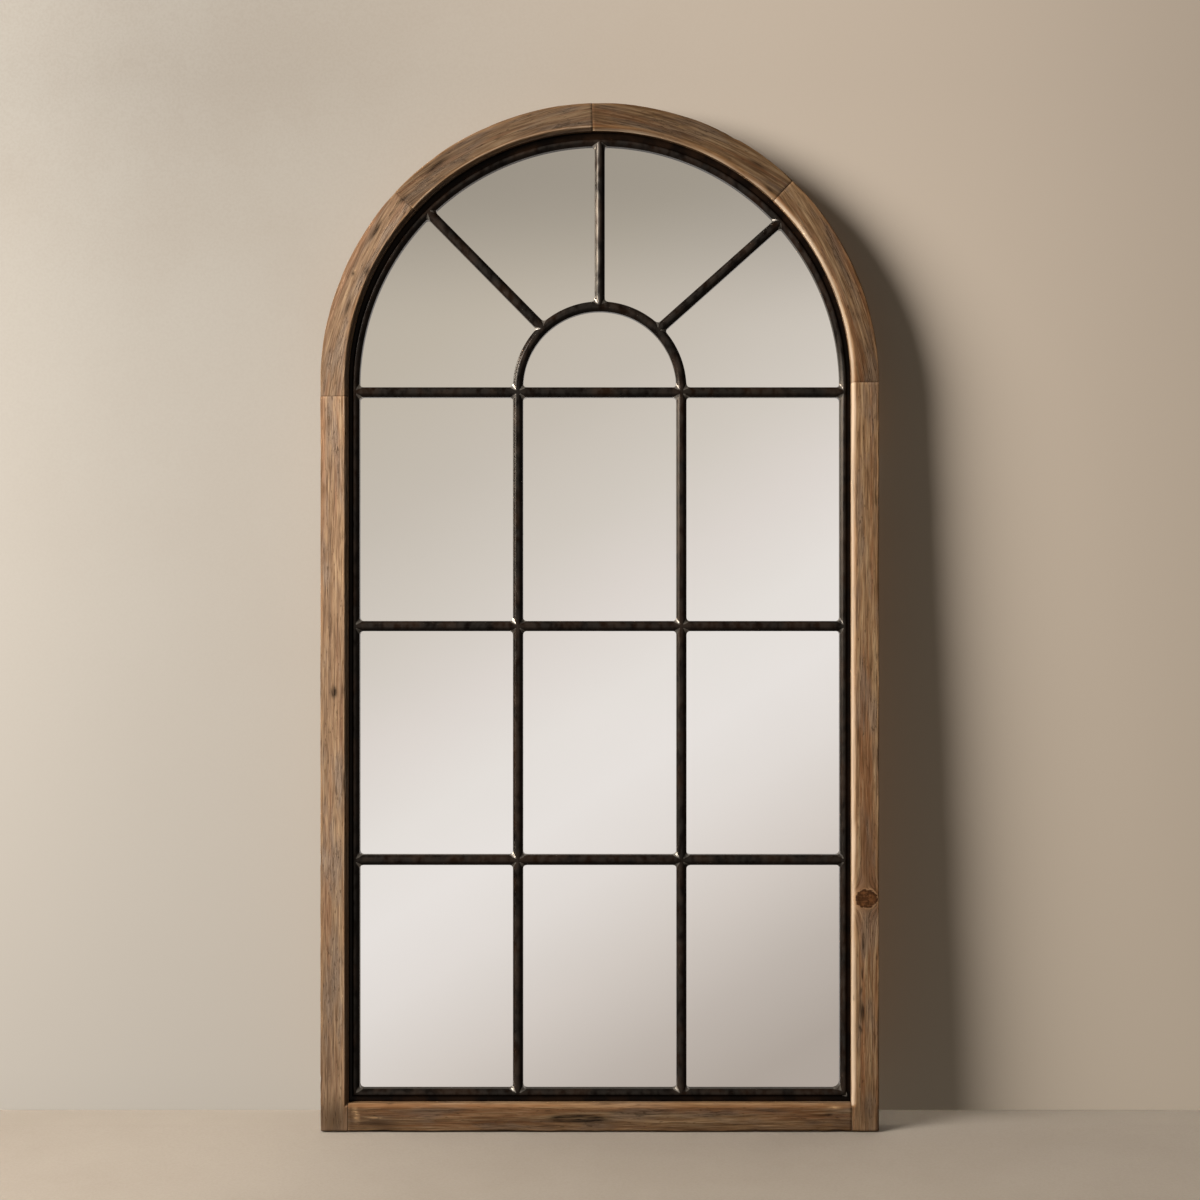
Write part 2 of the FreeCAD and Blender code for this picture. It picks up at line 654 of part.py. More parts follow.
# Spokes: each has its turn from upright and its sideways shift, seen from the middle of the ring
ARCH_RISE = f"({SPRINGING} - {RING_CENTRE})"
SPOKES = {
    "left": ("sizes.left_spoke_angle", "sizes.left_spoke_shift"),
    "centre": ("0", "0"),
    "right": ("(-sizes.right_spoke_angle)", "(-sizes.right_spoke_shift)"),
}


def reach_to_hoop(turn, across, radius):
    """Distance along a spoke, from the middle of the ring, to a circle about the middle of the arch."""
    return f"({ARCH_RISE} * cos({turn}) + sqrt({radius}^2 - ({across} - {ARCH_RISE} * sin({turn}))^2))"


def spoke(label, turn, shift):
    """Bar from the fan ring to the hoop, with both ends coped."""
    body = new_body(f"{label}_bar")
    start = "sizes.muntin_offset"
    length = f"({reach_to_hoop(turn, shift, HOOP_RIDGE)} - {start})"
    pad(body, bar_section(body, f"{label}_section", shift), length)
    place(body, x=f"(-{start} * sin({turn}))", z=f"({RING_CENTRE} + {start} * cos({turn}))", turn=turn)
    return carve(label, body, uprights)


spokes = [spoke(f"spoke_{name}", turn, shift) for name, (turn, shift) in SPOKES.items()]

# Weld fillets in the inner corners of the grid


def weld_shape(name, leg):
    """Fillet with a hollow face, in the corner between its own X and Z axes."""
    body = new_body(name)
    sketch = outline(body, f"{name}_outline", "XZ_Plane", [
        ("0", "0"),
        (leg, "0", (leg, leg, -1)),
        ("0", leg),
    ])
    pad(body, sketch, f"({IRON_BACK} - {IRON_SHOULDER})", reverse=True)
    return body


def ring_foot_places():
    """Welds in the corners between the upper crossbar and the feet of the fan ring."""
    half = "sizes.bar_width / 2"
    places = []
    for post in ("-sizes.muntin_offset", "sizes.muntin_offset"):
        places.append((f"{post} + {half}", IRON_SHOULDER, f"{TOP_CROSSBAR} + {half}", "0"))
        places.append((f"{post} - {half}", IRON_SHOULDER, f"{TOP_CROSSBAR} + {half}", QUARTER_ANGLE))
    return places


def corner_places():
    """Welds at every other crossing of the straight bars, each turned into its own corner."""
    half = "sizes.bar_width / 2"
    heights = [crossbar_height(number) for number in CROSSBAR_ROWS.values()]
    places = []
    for height in heights:
        for post in ("-sizes.muntin_offset", "sizes.muntin_offset"):
            if height != TOP_CROSSBAR:
                places.append((f"{post} + {half}", f"{height} + {half}", "0"))
                places.append((f"{post} - {half}", f"{height} + {half}", QUARTER_ANGLE))
            places.append((f"{post} - {half}", f"{height} - {half}", HALF_ANGLE))
            places.append((f"{post} + {half}", f"{height} - {half}", BACK_ANGLE))
        places.append((f"-{HOOP_INSIDE}", f"{height} + {half}", "0"))
        places.append((HOOP_INSIDE, f"{height} + {half}", QUARTER_ANGLE))
        places.append((HOOP_INSIDE, f"{height} - {half}", HALF_ANGLE))
        places.append((f"-{HOOP_INSIDE}", f"{height} - {half}", BACK_ANGLE))
    for post in ("-sizes.muntin_offset", "sizes.muntin_offset"):
        places.append((f"{post} + {half}", SILL_TOP, "0"))
        places.append((f"{post} - {half}", SILL_TOP, QUARTER_ANGLE))
    places.append((f"-{HOOP_INSIDE}", SILL_TOP, "0"))
    return [(x, IRON_SHOULDER, z, turn) for x, z, turn in places]


def spoke_weld_places():
    """Welds on both sides of each spoke, at the ring and at the hoop."""
    places = []
    ring_outside = "(sizes.muntin_offset + sizes.bar_width / 2)"
    for turn, shift in SPOKES.values():
        for side, foot_turn, head_turn in (("+", "0", BACK_ANGLE), ("-", QUARTER_ANGLE, HALF_ANGLE)):
            across = f"({shift} {side} sizes.bar_width / 2)"
            foot = f"(sqrt({ring_outside}^2 - {across}^2) - sizes.weld_sink)"
            head = f"({reach_to_hoop(turn, across, HOOP_INSIDE)} + sizes.weld_sink)"
            for along, own_turn in ((foot, foot_turn), (head, head_turn)):
                x = f"{across} * cos({turn}) - {along} * sin({turn})"
                z = f"{RING_CENTRE} + {across} * sin({turn}) + {along} * cos({turn})"
                places.append((x, IRON_SHOULDER, z, f"{turn} + {own_turn}"))
    return places


weld = weld_shape("weld", "sizes.weld_leg")
heavy_weld = weld_shape("heavy_weld", "sizes.heavy_weld_leg")
heavy_corner = [(HOOP_INSIDE, IRON_SHOULDER, SILL_TOP, QUARTER_ANGLE)]
straight_welds = copies("corner_weld", weld, corner_places())
straight_welds += copies("heavy_corner_weld", heavy_weld, heavy_corner)
curved_places = ring_foot_places() + spoke_weld_places()
curved_welds = group("curved_welds", copies("curved_weld", weld, curved_places))
trimmed_welds = carve("trimmed_welds", curved_welds, uprights)
weld_fillets = group("weld_fillets", straight_welds + [trimmed_welds])

# Glass and its backing


def setting_blocks():
    """Two strips that the glass stands on."""
    blocks = []
    for side, sign in (("left", "-"), ("right", "")):
        block = doc.addObject("Part::Box", f"setting_block_{side}")
        bind(block, Length="sizes.block_length", Width="sizes.glass_thickness", Height="sizes.block_height")
        start = f"{sign}sizes.block_offset - sizes.block_length / 2"
        blocks.append(place(block, start, IRON_BACK, REBATE_FLOOR))
    return group("setting_blocks", blocks)


mirror_glass = arched_plate("mirror_glass", f"({REBATE} - sizes.glass_play)",
                            f"({REBATE_FLOOR} + sizes.block_height)", IRON_BACK, "sizes.glass_thickness")
board_blank = arched_plate("board_blank", f"({BOARD_REBATE} - sizes.board_play)",
                           f"({BOARD_FLOOR} + sizes.board_play)", GLASS_BACK, "sizes.board_thickness")
backing_board = carve("backing_board", board_blank, tack_holes)

# Hardware on the back


def corner_bracket(label, side, turn):
    """Flat L-shaped bracket over the joint of stile and rail."""
    body = new_body(f"{label}_blank")
    length = BRACKET_LENGTH
    width = "sizes.bracket_width"
    sketch = outline(body, f"{label}_outline", "XZ_Plane", [
        ("0", "0"), (length, "0"), (length, width), (width, width), (width, length), ("0", length),
    ])
    pad(body, sketch, "sizes.bracket_thickness", reverse=True)
    place(body, f"{side}({OUTSIDE} - {BRACKET_MARGIN})", WOOD_BACK, BRACKET_MARGIN, turn)
    return carve(label, body, hardware_holes)


def hanger_strap(label, side):
    """Strap folded round the straight bar of the ring, with a round lower end."""
    body = new_body(f"{label}_blank")
    half = "(sizes.strap_width / 2)"
    round_start = f"({half} - {STRAP_LENGTH})"
    plate = outline(body, f"{label}_plate", "XZ_Plane", [
        (f"-{half}", round_start, ("0", round_start, 1)),
        (half, round_start),
        (half, "0"),
        (f"-{half}", "0"),
    ])
    pad(body, plate, "sizes.strap_thickness", reverse=True)
    fold = outline(body, f"{label}_fold", "XZ_Plane", [
        (f"-{half}", f"-{STRAP_FOLD}"), (half, f"-{STRAP_FOLD}"), (half, "0"), (f"-{half}", "0"),
    ])
    pad(body, fold, "(2 * sizes.strap_thickness)", reverse=True)
    knuckle = disc(body, f"{label}_knuckle", "YZ_Plane", HINGE_DEPTH, "0", KNUCKLE)
    pad(body, knuckle, "sizes.strap_width", midplane=True)
    pocket(body, disc(body, f"{label}_bore", "YZ_Plane", HINGE_DEPTH, "0", KNUCKLE_BORE))
    place(body, f"{side}{BACK_LAND}", WOOD_BACK, HANGER_HEIGHT)
    return carve(label, body, hardware_holes)


def hanger_ring(label, side):
    """D-shaped wire ring that hangs from the strap by its straight bar."""
    body = new_body(label)
    half = RING_HALF
    inner = "(sizes.strap_width / 2)"
    corner = f"(-{RING_CORNER})"
    low = f"(-{RING_CORNER} - sizes.ring_side)"
    path = outline(body, f"{label}_path", "XZ_Plane", [
        ("0", "0"),
        (inner, "0", (inner, corner, -1)),
        (half, corner),
        (half, low, ("0", low, -1)),
        (f"-{half}", low),
        (f"-{half}", corner, (f"-{inner}", corner, -1)),
        (f"-{inner}", "0"),
    ])
    wire = body.newObject("PartDesign::AdditivePipe", f"{label}_wire")
    wire.Profile = disc(body, f"{label}_section", "YZ_Plane", "0", "0", "sizes.wire_radius")
    wire.Spine = path
    return place(body, f"{side}{BACK_LAND}", f"({WOOD_BACK} + {HINGE_DEPTH})", HANGER_HEIGHT)


def bumper_shape():
    """Soft pad with a rounded rim, turned about its own axis."""
    body = new_body("bumper")
    flat = "(sizes.bumper_radius - sizes.bumper_round)"
    shoulder = f"({BUMPER_HEIGHT} - sizes.bumper_round)"
    revolve(body, outline(body, "bumper_profile", "XY_Plane", [
        ("0", "0"),
        ("sizes.bumper_radius", "0"),
        ("sizes.bumper_radius", shoulder, (flat, shoulder, 1)),
        (flat, BUMPER_HEIGHT),
        ("0", BUMPER_HEIGHT),
    ]), FULL_ANGLE)
    return body


def bumper_places():
    """Two pads low on the stiles and two on the arch."""
    angle = "sizes.bumper_angle"
    rise = f"({BRACKET_MARGIN} + {BRACKET_LENGTH} + sizes.bumper_gap + sizes.bumper_radius)"
    places = []
    for side in ("", "-"):
        places.append((f"{side}{BACK_LAND}", WOOD_BACK, rise, "0"))
        height = f"{SPRINGING} + {BACK_LAND} * sin({angle})"
        places.append((f"{side}{BACK_LAND} * cos({angle})", WOOD_BACK, height, "0"))
    return places


back_hardware = [
    corner_bracket("corner_bracket_left", "-", "0"),
    corner_bracket("corner_bracket_right", "", QUARTER_ANGLE),
    hanger_strap("hanger_strap_left", "-"),
    hanger_strap("hanger_strap_right", ""),
    hanger_ring("hanger_ring_left", "-"),
    hanger_ring("hanger_ring_right", ""),
    group("wall_bumpers", copies("wall_bumper", bumper_shape(), bumper_places())),
]

parts = wood_pieces + [frame_dowels, hoop, sill, left_muntin, right_muntin, ring] + crossbars + spokes
parts += [weld_fillets, mirror_glass, setting_blocks(), backing_board, backing_screws, hardware_screws]
parts += back_hardware

doc.recompute()
faults = [item.Name for item in doc.Objects if {"Invalid", "Error"} & set(item.State)]
faults += [item.Name for item in parts if item.Shape.isNull() or not item.Shape.isValid()]
if faults:
    raise RuntimeError(f"these objects failed: {faults}")

os.makedirs("parts", exist_ok=True)
for item in parts:
    item.Shape.exportStep(f"parts/{item.Label}.step")
    box = item.Shape.optimalBoundingBox(False)
    print(f"{item.Label}: {len(item.Shape.Solids)} solids, {item.Shape.Volume:.1f} mm3, "
          f"{box.XLength:.1f} x {box.YLength:.1f} x {box.ZLength:.1f} mm")
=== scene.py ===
"""Looks of an arched window-pane mirror: weathered wood frame, welded iron grid, silvered glass.

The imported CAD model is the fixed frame. X runs to the right, the face looks along -Y, Z is up.
Lengths in the classes below are in millimetres, and meshes are made in metres.
"""

import itertools
import json
import logging
import math
from collections.abc import Sequence
from dataclasses import dataclass, field
from enum import Enum

import bmesh
import bpy
import numpy as np
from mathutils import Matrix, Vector

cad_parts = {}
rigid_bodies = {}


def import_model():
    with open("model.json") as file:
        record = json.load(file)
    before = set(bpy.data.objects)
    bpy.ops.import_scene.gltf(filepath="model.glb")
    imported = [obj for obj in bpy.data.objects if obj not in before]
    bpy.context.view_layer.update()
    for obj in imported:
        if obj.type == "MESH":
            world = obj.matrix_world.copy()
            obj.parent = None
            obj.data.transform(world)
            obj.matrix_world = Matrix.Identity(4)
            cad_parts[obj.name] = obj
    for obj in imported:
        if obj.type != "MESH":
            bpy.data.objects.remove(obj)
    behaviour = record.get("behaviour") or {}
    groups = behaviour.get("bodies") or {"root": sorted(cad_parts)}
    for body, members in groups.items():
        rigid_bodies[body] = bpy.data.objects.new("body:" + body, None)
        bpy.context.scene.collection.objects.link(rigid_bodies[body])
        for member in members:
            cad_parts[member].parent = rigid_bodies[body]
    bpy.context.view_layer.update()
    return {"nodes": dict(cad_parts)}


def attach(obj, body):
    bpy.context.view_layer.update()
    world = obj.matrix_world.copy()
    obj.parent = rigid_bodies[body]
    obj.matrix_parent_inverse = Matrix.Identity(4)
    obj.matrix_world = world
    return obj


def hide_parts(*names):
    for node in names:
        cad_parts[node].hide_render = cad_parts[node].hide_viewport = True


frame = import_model()

LOG = logging.getLogger("mirror")
MM = 0.001
MAIN_BODY = "mirror"
# Large odd numbers that scatter the cells of lattice_noise
CELL_STEPS = (73856093, 19349663, 83492791)
SEED_STEP = 374761393
SCATTER = 1274126177


# Meshes


def lattice_noise(points: np.ndarray, seed: int) -> np.ndarray:
    """Smooth noise with one cell per unit.

    Args:
        points: places, as rows of three numbers.
        seed: fixed number that picks the pattern.

    Returns:
        One value from -1 to 1 for each place.
    """
    cell = np.floor(points).astype(np.int64)
    part = points - cell
    fade = part * part * (3 - 2 * part)
    total = np.zeros(points.shape[:-1])
    for corner in itertools.product((0, 1), repeat=3):
        key = (cell + np.array(corner)) @ np.array(CELL_STEPS) + seed * SEED_STEP
        key = (key ^ (key >> 13)) * SCATTER & 0x7FFFFFFF
        level = ((key ^ (key >> 16)) & 0xFFFF) / 32767.5 - 1
        weight = np.prod(np.where(np.array(corner) == 1, fade, 1 - fade), axis=-1)
        total += level * weight
    return total


def soften(corners: np.ndarray, rounds: np.ndarray, spans: Sequence[int]) -> tuple[np.ndarray, list]:
    """Round the corners of closed outlines and divide the straights between them.

    Args:
        corners: the corners, as (outline, corner, 2).
        rounds: how far each corner is cut back, as (outline, corner).
        spans: for each corner, the number of pieces in the straight after it.

    Returns:
        Points as (outline, point, 2), and for each point its corner and its share of the way to
        the next corner, which is 0 all over the round.
    """
    count = corners.shape[1]
    rows, spots = [], []
    for number in range(count):
        here, following = corners[:, number], corners[:, (number + 1) % count]
        reach = []
        for start, end, cut in ((here, corners[:, number - 1], number), (here, following, number),
                                (following, here, (number + 1) % count)):
            length = np.linalg.norm(end - start, axis=1)
            short = np.minimum(rounds[:, cut], length / 2)
            reach.append((end - start) * (short / np.maximum(length, 1e-9))[:, None])
        for share in np.linspace(0, 1, 5):
            rows.append(here + reach[0] * (1 - share) ** 2 + reach[1] * share ** 2)
            spots.append((number, 0.0))
        begin, stop = rows[-1], following + reach[2]
        for share in np.linspace(0, 1, spans[number] + 1)[1:-1]:
            rows.append(begin + (stop - begin) * share)
            spots.append((number, share))
    return np.stack(rows, axis=1), spots


def tube_faces(rows: int, columns: int) -> list[list[int]]:
    """Join the points of a tube, with both ends shut.

    Args:
        rows: number of rings of points.
        columns: number of points in a ring.

    Returns:
        Each face as a row of point numbers.
    """
    ring = np.arange(rows * columns).reshape(rows, columns)
    beside = np.roll(ring, -1, axis=1)
    quads = np.stack([ring[:-1], beside[:-1], beside[1:], ring[1:]], axis=-1)
    return quads.reshape(-1, 4).tolist() + [ring[0].tolist(), ring[-1][::-1].tolist()]


def mesh_object(name: str, points: np.ndarray, faces: list, edges: list | None = None) -> bpy.types.Object:
    """Make an object from points in metres.

    Args:
        name: the object's name.
        points: rows of x, y and z.
        faces: each face as a row of point numbers.
        edges: pairs of point numbers, where there are no faces.

    Returns:
        The object, in the scene, at the origin.
    """
    mesh = bpy.data.meshes.new(name)
    mesh.from_pydata(np.asarray(points).tolist(), edges or [], faces)
    mesh.update()
    made = bpy.data.objects.new(name, mesh)
    bpy.context.scene.collection.objects.link(made)
    return made


def line_object(name: str, points: np.ndarray, closed: bool = False) -> bpy.types.Object:
    """Make a line through points in millimetres, open or closed."""
    numbers = list(range(len(points)))
    following = numbers[1:] + (numbers[:1] if closed else [])
    return mesh_object(name, points * MM, [], list(zip(numbers, following)))


def face_outwards(piece: bpy.types.Object) -> None:
    """Merge what is double in a closed mesh, and turn all its faces outwards.

    Args:
        piece: the object whose mesh is mended.
    """
    work = bmesh.new()
    work.from_mesh(piece.data)
    bmesh.ops.remove_doubles(work, verts=work.verts, dist=1e-6)
    bmesh.ops.dissolve_degenerate(work, edges=work.edges, dist=1e-7)
    bmesh.ops.recalc_face_normals(work, faces=work.faces)
    work.to_mesh(piece.data)
    work.free()


def give_values(piece: bpy.types.Object, name: str, values: np.ndarray) -> None:
    """Store an attribute on the points of a mesh.

    Args:
        piece: the object.
        name: the attribute's name.
        values: one number, or one row of three, for each point.
    """
    values = np.asarray(values, np.float32)
    kind, key = ("FLOAT_VECTOR", "vector") if values.ndim == 2 else ("FLOAT", "value")
    attribute = piece.data.attributes.new(name, kind, "POINT")
    attribute.data.foreach_set(key, values.ravel())


def seat(piece: bpy.types.Object, slot: str, *nodes: str, body: str = MAIN_BODY) -> None:
    """Give a finished piece its place in the part.

    Args:
        piece: the piece.
        slot: the record's material slot. It is not used.
        *nodes: the CAD nodes that it stands for.
        body: the body that it rides on.
    """
    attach(piece, body)
    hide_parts(*nodes)
    LOG.info("%s stands for %s", piece.name, ", ".join(nodes))


def dress(nodes: list[str], material: bpy.types.Material) -> None:
    """Give CAD nodes that stay as they are a better material.

    Args:
        nodes: their names.
        material: the material.
    """
    for name in nodes:
        slots = frame["nodes"][name].data.materials
        slots.clear()
        slots.append(material)
        LOG.info("%s wears %s", name, material.name)


# Node trees


MIX = "ShaderNodeMix"
SPREAD = "ShaderNodeMapRange"
MATHS = "ShaderNodeMath"
VECTORS = "ShaderNodeVectorMath"
COORDINATES = "ShaderNodeTexCoord"
ATTRIBUTE = "ShaderNodeAttribute"
COMPARE = "FunctionNodeCompare"
# What nodes of a kind have set, unless a call says otherwise. Spread stretches a value smoothly.
USUAL = {MIX: {"data_type": "RGBA", "clamp_factor": True}, SPREAD: {"interpolation_type": "SMOOTHSTEP"},
         COMPARE: {"data_type": "FLOAT"}}
TIMES = {"operation": "MULTIPLY"}
MINUS = {"operation": "SUBTRACT"}
OVER = {"operation": "DIVIDE"}


def linear(colour: str) -> tuple[float, float, float, float]:
    """Turn an sRGB hex colour into linear values.

    Args:
        colour: six hex digits after a hash, such as "#a08060".

    Returns:
        Red, green, blue and an alpha of one.
    """
    levels = [int(colour[start:start + 2], 16) / 255 for start in (1, 3, 5)]
    red, green, blue = (v / 12.92 if v <= 0.04045 else ((v + 0.055) / 1.055) ** 2.4 for v in levels)
    return red, green, blue, 1.0


def give_stops(ramp: bpy.types.NodeSocket, tones: Sequence[tuple[float, str]]) -> None:
    """Give a colour ramp its stops.

    Args:
        ramp: the ramp's output.
        tones: place and colour of each stop, in rising order.
    """
    stops = ramp.node.color_ramp.elements
    for place, _ in tones[1:-1]:
        stops.new(place)
    for stop, (place, colour) in zip(stops, tones):
        stop.position, stop.color = place, linear(colour)


@dataclass(frozen=True)
class Graph:
    """A node tree, and the one way to add to it."""

    tree: bpy.types.NodeTree

    def fill(self, socket: bpy.types.NodeSocket, item: object) -> None:
        """Fill an input of a node.

        Args:
            socket: the input.
            item: a value, a hex colour, the socket that feeds it, or a list of such sockets.
        """
        for one in item if isinstance(item, list) else [item]:
            if isinstance(one, bpy.types.NodeSocket):
                self.tree.links.new(one, socket)
            else:
                socket.default_value = linear(one) if isinstance(one, str) and one.startswith("#") else one

    def add(self, kind: str, inputs: Sequence | dict = (), output: int | str | None = None,
            **settings: object) -> bpy.types.NodeSocket:
        """Add a node with its settings and inputs.

        Args:
            kind: Blender's name for the node.
            inputs: what fills its inputs, in the order of those in use, or by name or number.
            output: the name or number of the output that is wanted. Without it, the first in use.
            **settings: the node's own properties, where they aren't the usual ones.

        Returns:
            The output.
        """
        node = self.tree.nodes.new(kind)
        for name, setting in (USUAL.get(kind, {}) | settings).items():
            setattr(node, name, setting)
        if isinstance(inputs, dict):
            pairs = [(node.inputs[key], item) for key, item in inputs.items()]
        else:
            pairs = list(zip((socket for socket in node.inputs if socket.enabled), inputs))
        for socket, item in pairs:
            self.fill(socket, item)
        if output is not None:
            return node.outputs[output]
        return next((socket for socket in node.outputs if socket.enabled), None)


@dataclass(frozen=True)
class Look(Graph):
    """The nodes of one material."""

    shader: bpy.types.Node

    def noise(self, place: bpy.types.NodeSocket, cells: tuple[float, float, float], detail: float = 3.0,
              roughness: float = 0.55) -> bpy.types.NodeSocket:
        """Add noise with its own cell size each way.

        Args:
            place: coordinates in metres.
            cells: length of a cell along x, y and z, in millimetres.
            detail: number of finer layers.
            roughness: share of each finer layer.

        Returns:
            Its value, from 0 to 1.
        """
        stretched = self.add(VECTORS, [place, tuple(1 / (cell * MM) for cell in cells)], **TIMES)
        return self.add("ShaderNodeTexNoise", {
            "Vector": stretched, "Scale": 1.0, "Detail": detail, "Roughness": roughness}, "Fac")

    def lay(self, under: object, *layers: tuple[object, object]) -> object:
        """Lay colours over each other.

        Args:
            under: the lowest colour.
            *layers: for each layer, from below, how much of it shows and its colour.

        Returns:
            The colour on top.
        """
        for share, colour in layers:
            under = self.add(MIX, [share, under, colour])
        return under

    def shade(self, values: dict[str, object]) -> None:
        """Fill inputs of the shader, by name."""
        for name, item in values.items():
            self.fill(self.shader.inputs[name], item)

    def relief(self, height: bpy.types.NodeSocket, depth: float, strength: float) -> None:
        """Feed the shader's normal from a height, whose full step is a depth in millimetres."""
        self.shade({"Normal": self.add("ShaderNodeBump", {
            "Height": height, "Distance": depth * MM, "Strength": strength})})


# Finishes


@dataclass(frozen=True)
class Finish:
    """Surface of a real material, made of shader nodes."""

    name: str

    def paint(self, look: Look) -> None:
        """Add this finish's own nodes.

        Args:
            look: the material's nodes.
        """
        raise NotImplementedError

    def material(self) -> bpy.types.Material:
        """Find this finish's material, or make it the first time.

        Returns:
            The material.
        """
        if self.name not in bpy.data.materials:
            made = bpy.data.materials.new(self.name)
            made.use_nodes = True
            self.paint(Look(made.node_tree, made.node_tree.nodes["Principled BSDF"]))
        return bpy.data.materials[self.name]


@dataclass(frozen=True)
class WeatheredWood(Finish):
    """Reclaimed softwood, brushed and waxed: brown fibres, grey weather, dark pores, rubbed edges."""

    name: str = "weathered_softwood_brushed_and_waxed"
    fibre: float = 1.1
    streak: float = 3.2
    band: float = 11.0
    rings: tuple[tuple[float, str], ...] = ((0.37, "#684c35"), (0.5, "#9c7855"), (0.63, "#c2a079"))

    def paint(self, look: Look) -> None:
        """Grain runs along each piece, so all of it reads the piece's own grain attribute.

        Args:
            look: the material's nodes.
        """
        add = look.add
        place = add(ATTRIBUTE, output="Vector", attribute_name="grain")
        worn, stain_and_painted_shade, knot, pale, grey, tone, weather = (
            add(ATTRIBUTE, output="Fac", attribute_name=name)
            for name in ("worn", "stain_and_painted_shade", "knot", "pale", "grey", "tone", "weather"))
        band = look.noise(place, (260, self.band, self.band), 2)
        red = look.noise(place, (320, self.band * 0.7, self.band * 0.7), 2)
        streak = look.noise(place, (70, self.streak, self.streak), 4, 0.62)
        fibre = look.noise(place, (26, self.fibre, self.fibre), 2, 0.6)
        cloud = look.noise(place, (90, 20, 20), 3, 0.6)
        speck = look.noise(place, (9, 2.2, 2.2), 2, 0.6)
        ring = add(MATHS, [add(MATHS, [band, 0.4], **TIMES), add(MATHS, [streak, 0.6], **TIMES)])
        grown = add("ShaderNodeValToRGB", [ring])
        give_stops(grown, self.rings)
        # Weather turns the open face grey in clouds, and open pores and short checks hold old dark wax
        greyed = add(MATHS, [add(SPREAD, [cloud, 0.45, 0.66, 0.0, 0.55]), weather])
        ridge = add(MATHS, [add(MATHS, [streak, 0.5], **MINUS)], operation="ABSOLUTE")
        fine = add(SPREAD, [ridge, 0.0, 0.014, 1.0, 0.0])
        check = add(MATHS, [fine, add(SPREAD, [cloud, 0.5, 0.6])], **TIMES)
        wood = look.lay(
            grown, (add(SPREAD, [red, 0.5, 0.66, 0.0, 0.6]), "#94603c"), (greyed, "#937e6c"),
            (add(SPREAD, [fibre, 0.55, 0.7, 0.0, 0.35]), "#cbaa84"), (grey, "#604c39"),
            (add(SPREAD, [fibre, 0.34, 0.52, 0.55, 0.0]), "#5a4029"),
            (add(MATHS, [check, 0.6], **TIMES), "#3a2818"),
            (add(SPREAD, [speck, 0.62, 0.74, 0.0, 0.6]), "#412d1d"))
        # Edges are rubbed down to light wood, in part painted light on the chamfers that face the lamp; dark
        # stains, with painted shade on the chamfers that face away from it, follow the fibres; a pale scratch
        # crosses them
        rubbed = add(MATHS, [worn, add(SPREAD, [streak, 0.3, 0.56, 0.78, 1.0])], **TIMES)
        bare = look.lay("#b98653", (add(SPREAD, [worn, 0.15, 0.62]), "#e0c6a9"))
        stain_and_shade_share = add(MATHS, [stain_and_painted_shade, add(SPREAD, [fibre, 0.35, 0.6, 0.35, 1.0])], **TIMES)
        broken = add(MATHS, [pale, add(SPREAD, [speck, 0.4, 0.55, 0.25, 1.0])], **TIMES)
        own = add(MIX, [1.0, wood, tone], blend_type="MULTIPLY")
        wood = look.lay(own, (rubbed, bare), (stain_and_shade_share, "#1c130c"), (broken, "#d3ab7c"))
        # A knot is an uneven brown disc with a darker rim, and pale wood closes round it
        blot = look.noise(look.add(COORDINATES, output="Object"), (3.4, 3.4, 3.4), 3, 0.62)
        reach = add(MATHS, [knot, add(SPREAD, [blot, 0.3, 0.7, -0.1, 0.1])])
        halo = add(MATHS, [add(SPREAD, [reach, 1.02, 1.1]), add(SPREAD, [reach, 1.24, 1.12])], **TIMES)
        heart = look.lay("#4b301b", (add(SPREAD, [blot, 0.4, 0.6]), "#7a4f30"),
                         (add(SPREAD, [speck, 0.5, 0.62, 0.0, 0.7]), "#382313"),
                         (add(SPREAD, [reach, 0.78, 0.96, 0.0, 0.6]), "#42291a"))
        wood = look.lay(wood, (add(MATHS, [halo, 0.45], **TIMES), "#c2946a"),
                        (add(SPREAD, [reach, 0.97, 1.05, 1.0, 0.0]), heart))
        look.shade({"Base Color": wood, "Roughness": add(SPREAD, [streak, 0.2, 0.8, 0.9, 0.66]),
                    "Specular IOR Level": 0.07})
        look.relief(add(MATHS, [add(MATHS, [streak, fibre]), check], **MINUS), 0.6, 0.7)


@dataclass(frozen=True)
class BronzedIron(Finish):
    """Hand-worked iron with a bronze-black coat: satin, brown where thin, bare grey where it is rubbed."""

    name: str = "iron_with_bronze_black_coat"

    def paint(self, look: Look) -> None:
        """Wear follows the edges, which the sections mark in their worn attribute.

        Args:
            look: the material's nodes.
        """
        add = look.add
        place = look.add(COORDINATES, output="Object")
        cloud = look.noise(place, (30, 30, 30), 3, 0.6)
        grit = look.noise(place, (2.0, 2.0, 2.0), 3, 0.65)
        dash = look.noise(place, (8, 8, 14), 3, 0.5)
        worn = add(ATTRIBUTE, output="Fac", attribute_name="worn")
        bare = add(MATHS, [worn, add(SPREAD, [dash, 0.3, 0.64])], **TIMES)
        coat = look.lay("#0c0705", (add(SPREAD, [cloud, 0.38, 0.64]), "#20140c"),
                        (add(SPREAD, [grit, 0.62, 0.76, 0.0, 0.2]), "#38271b"), (bare, "#b9b1a6"))
        look.shade({"Base Color": coat, "Metallic": bare, "Specular IOR Level": 0.07,
                    "Specular Tint": "#f6eee7", "Roughness": add(SPREAD, [grit, 0.3, 0.75, 0.15, 0.23])})
        look.relief(add(MATHS, [cloud, add(MATHS, [grit, 0.3], **TIMES)]), 0.1, 0.35)


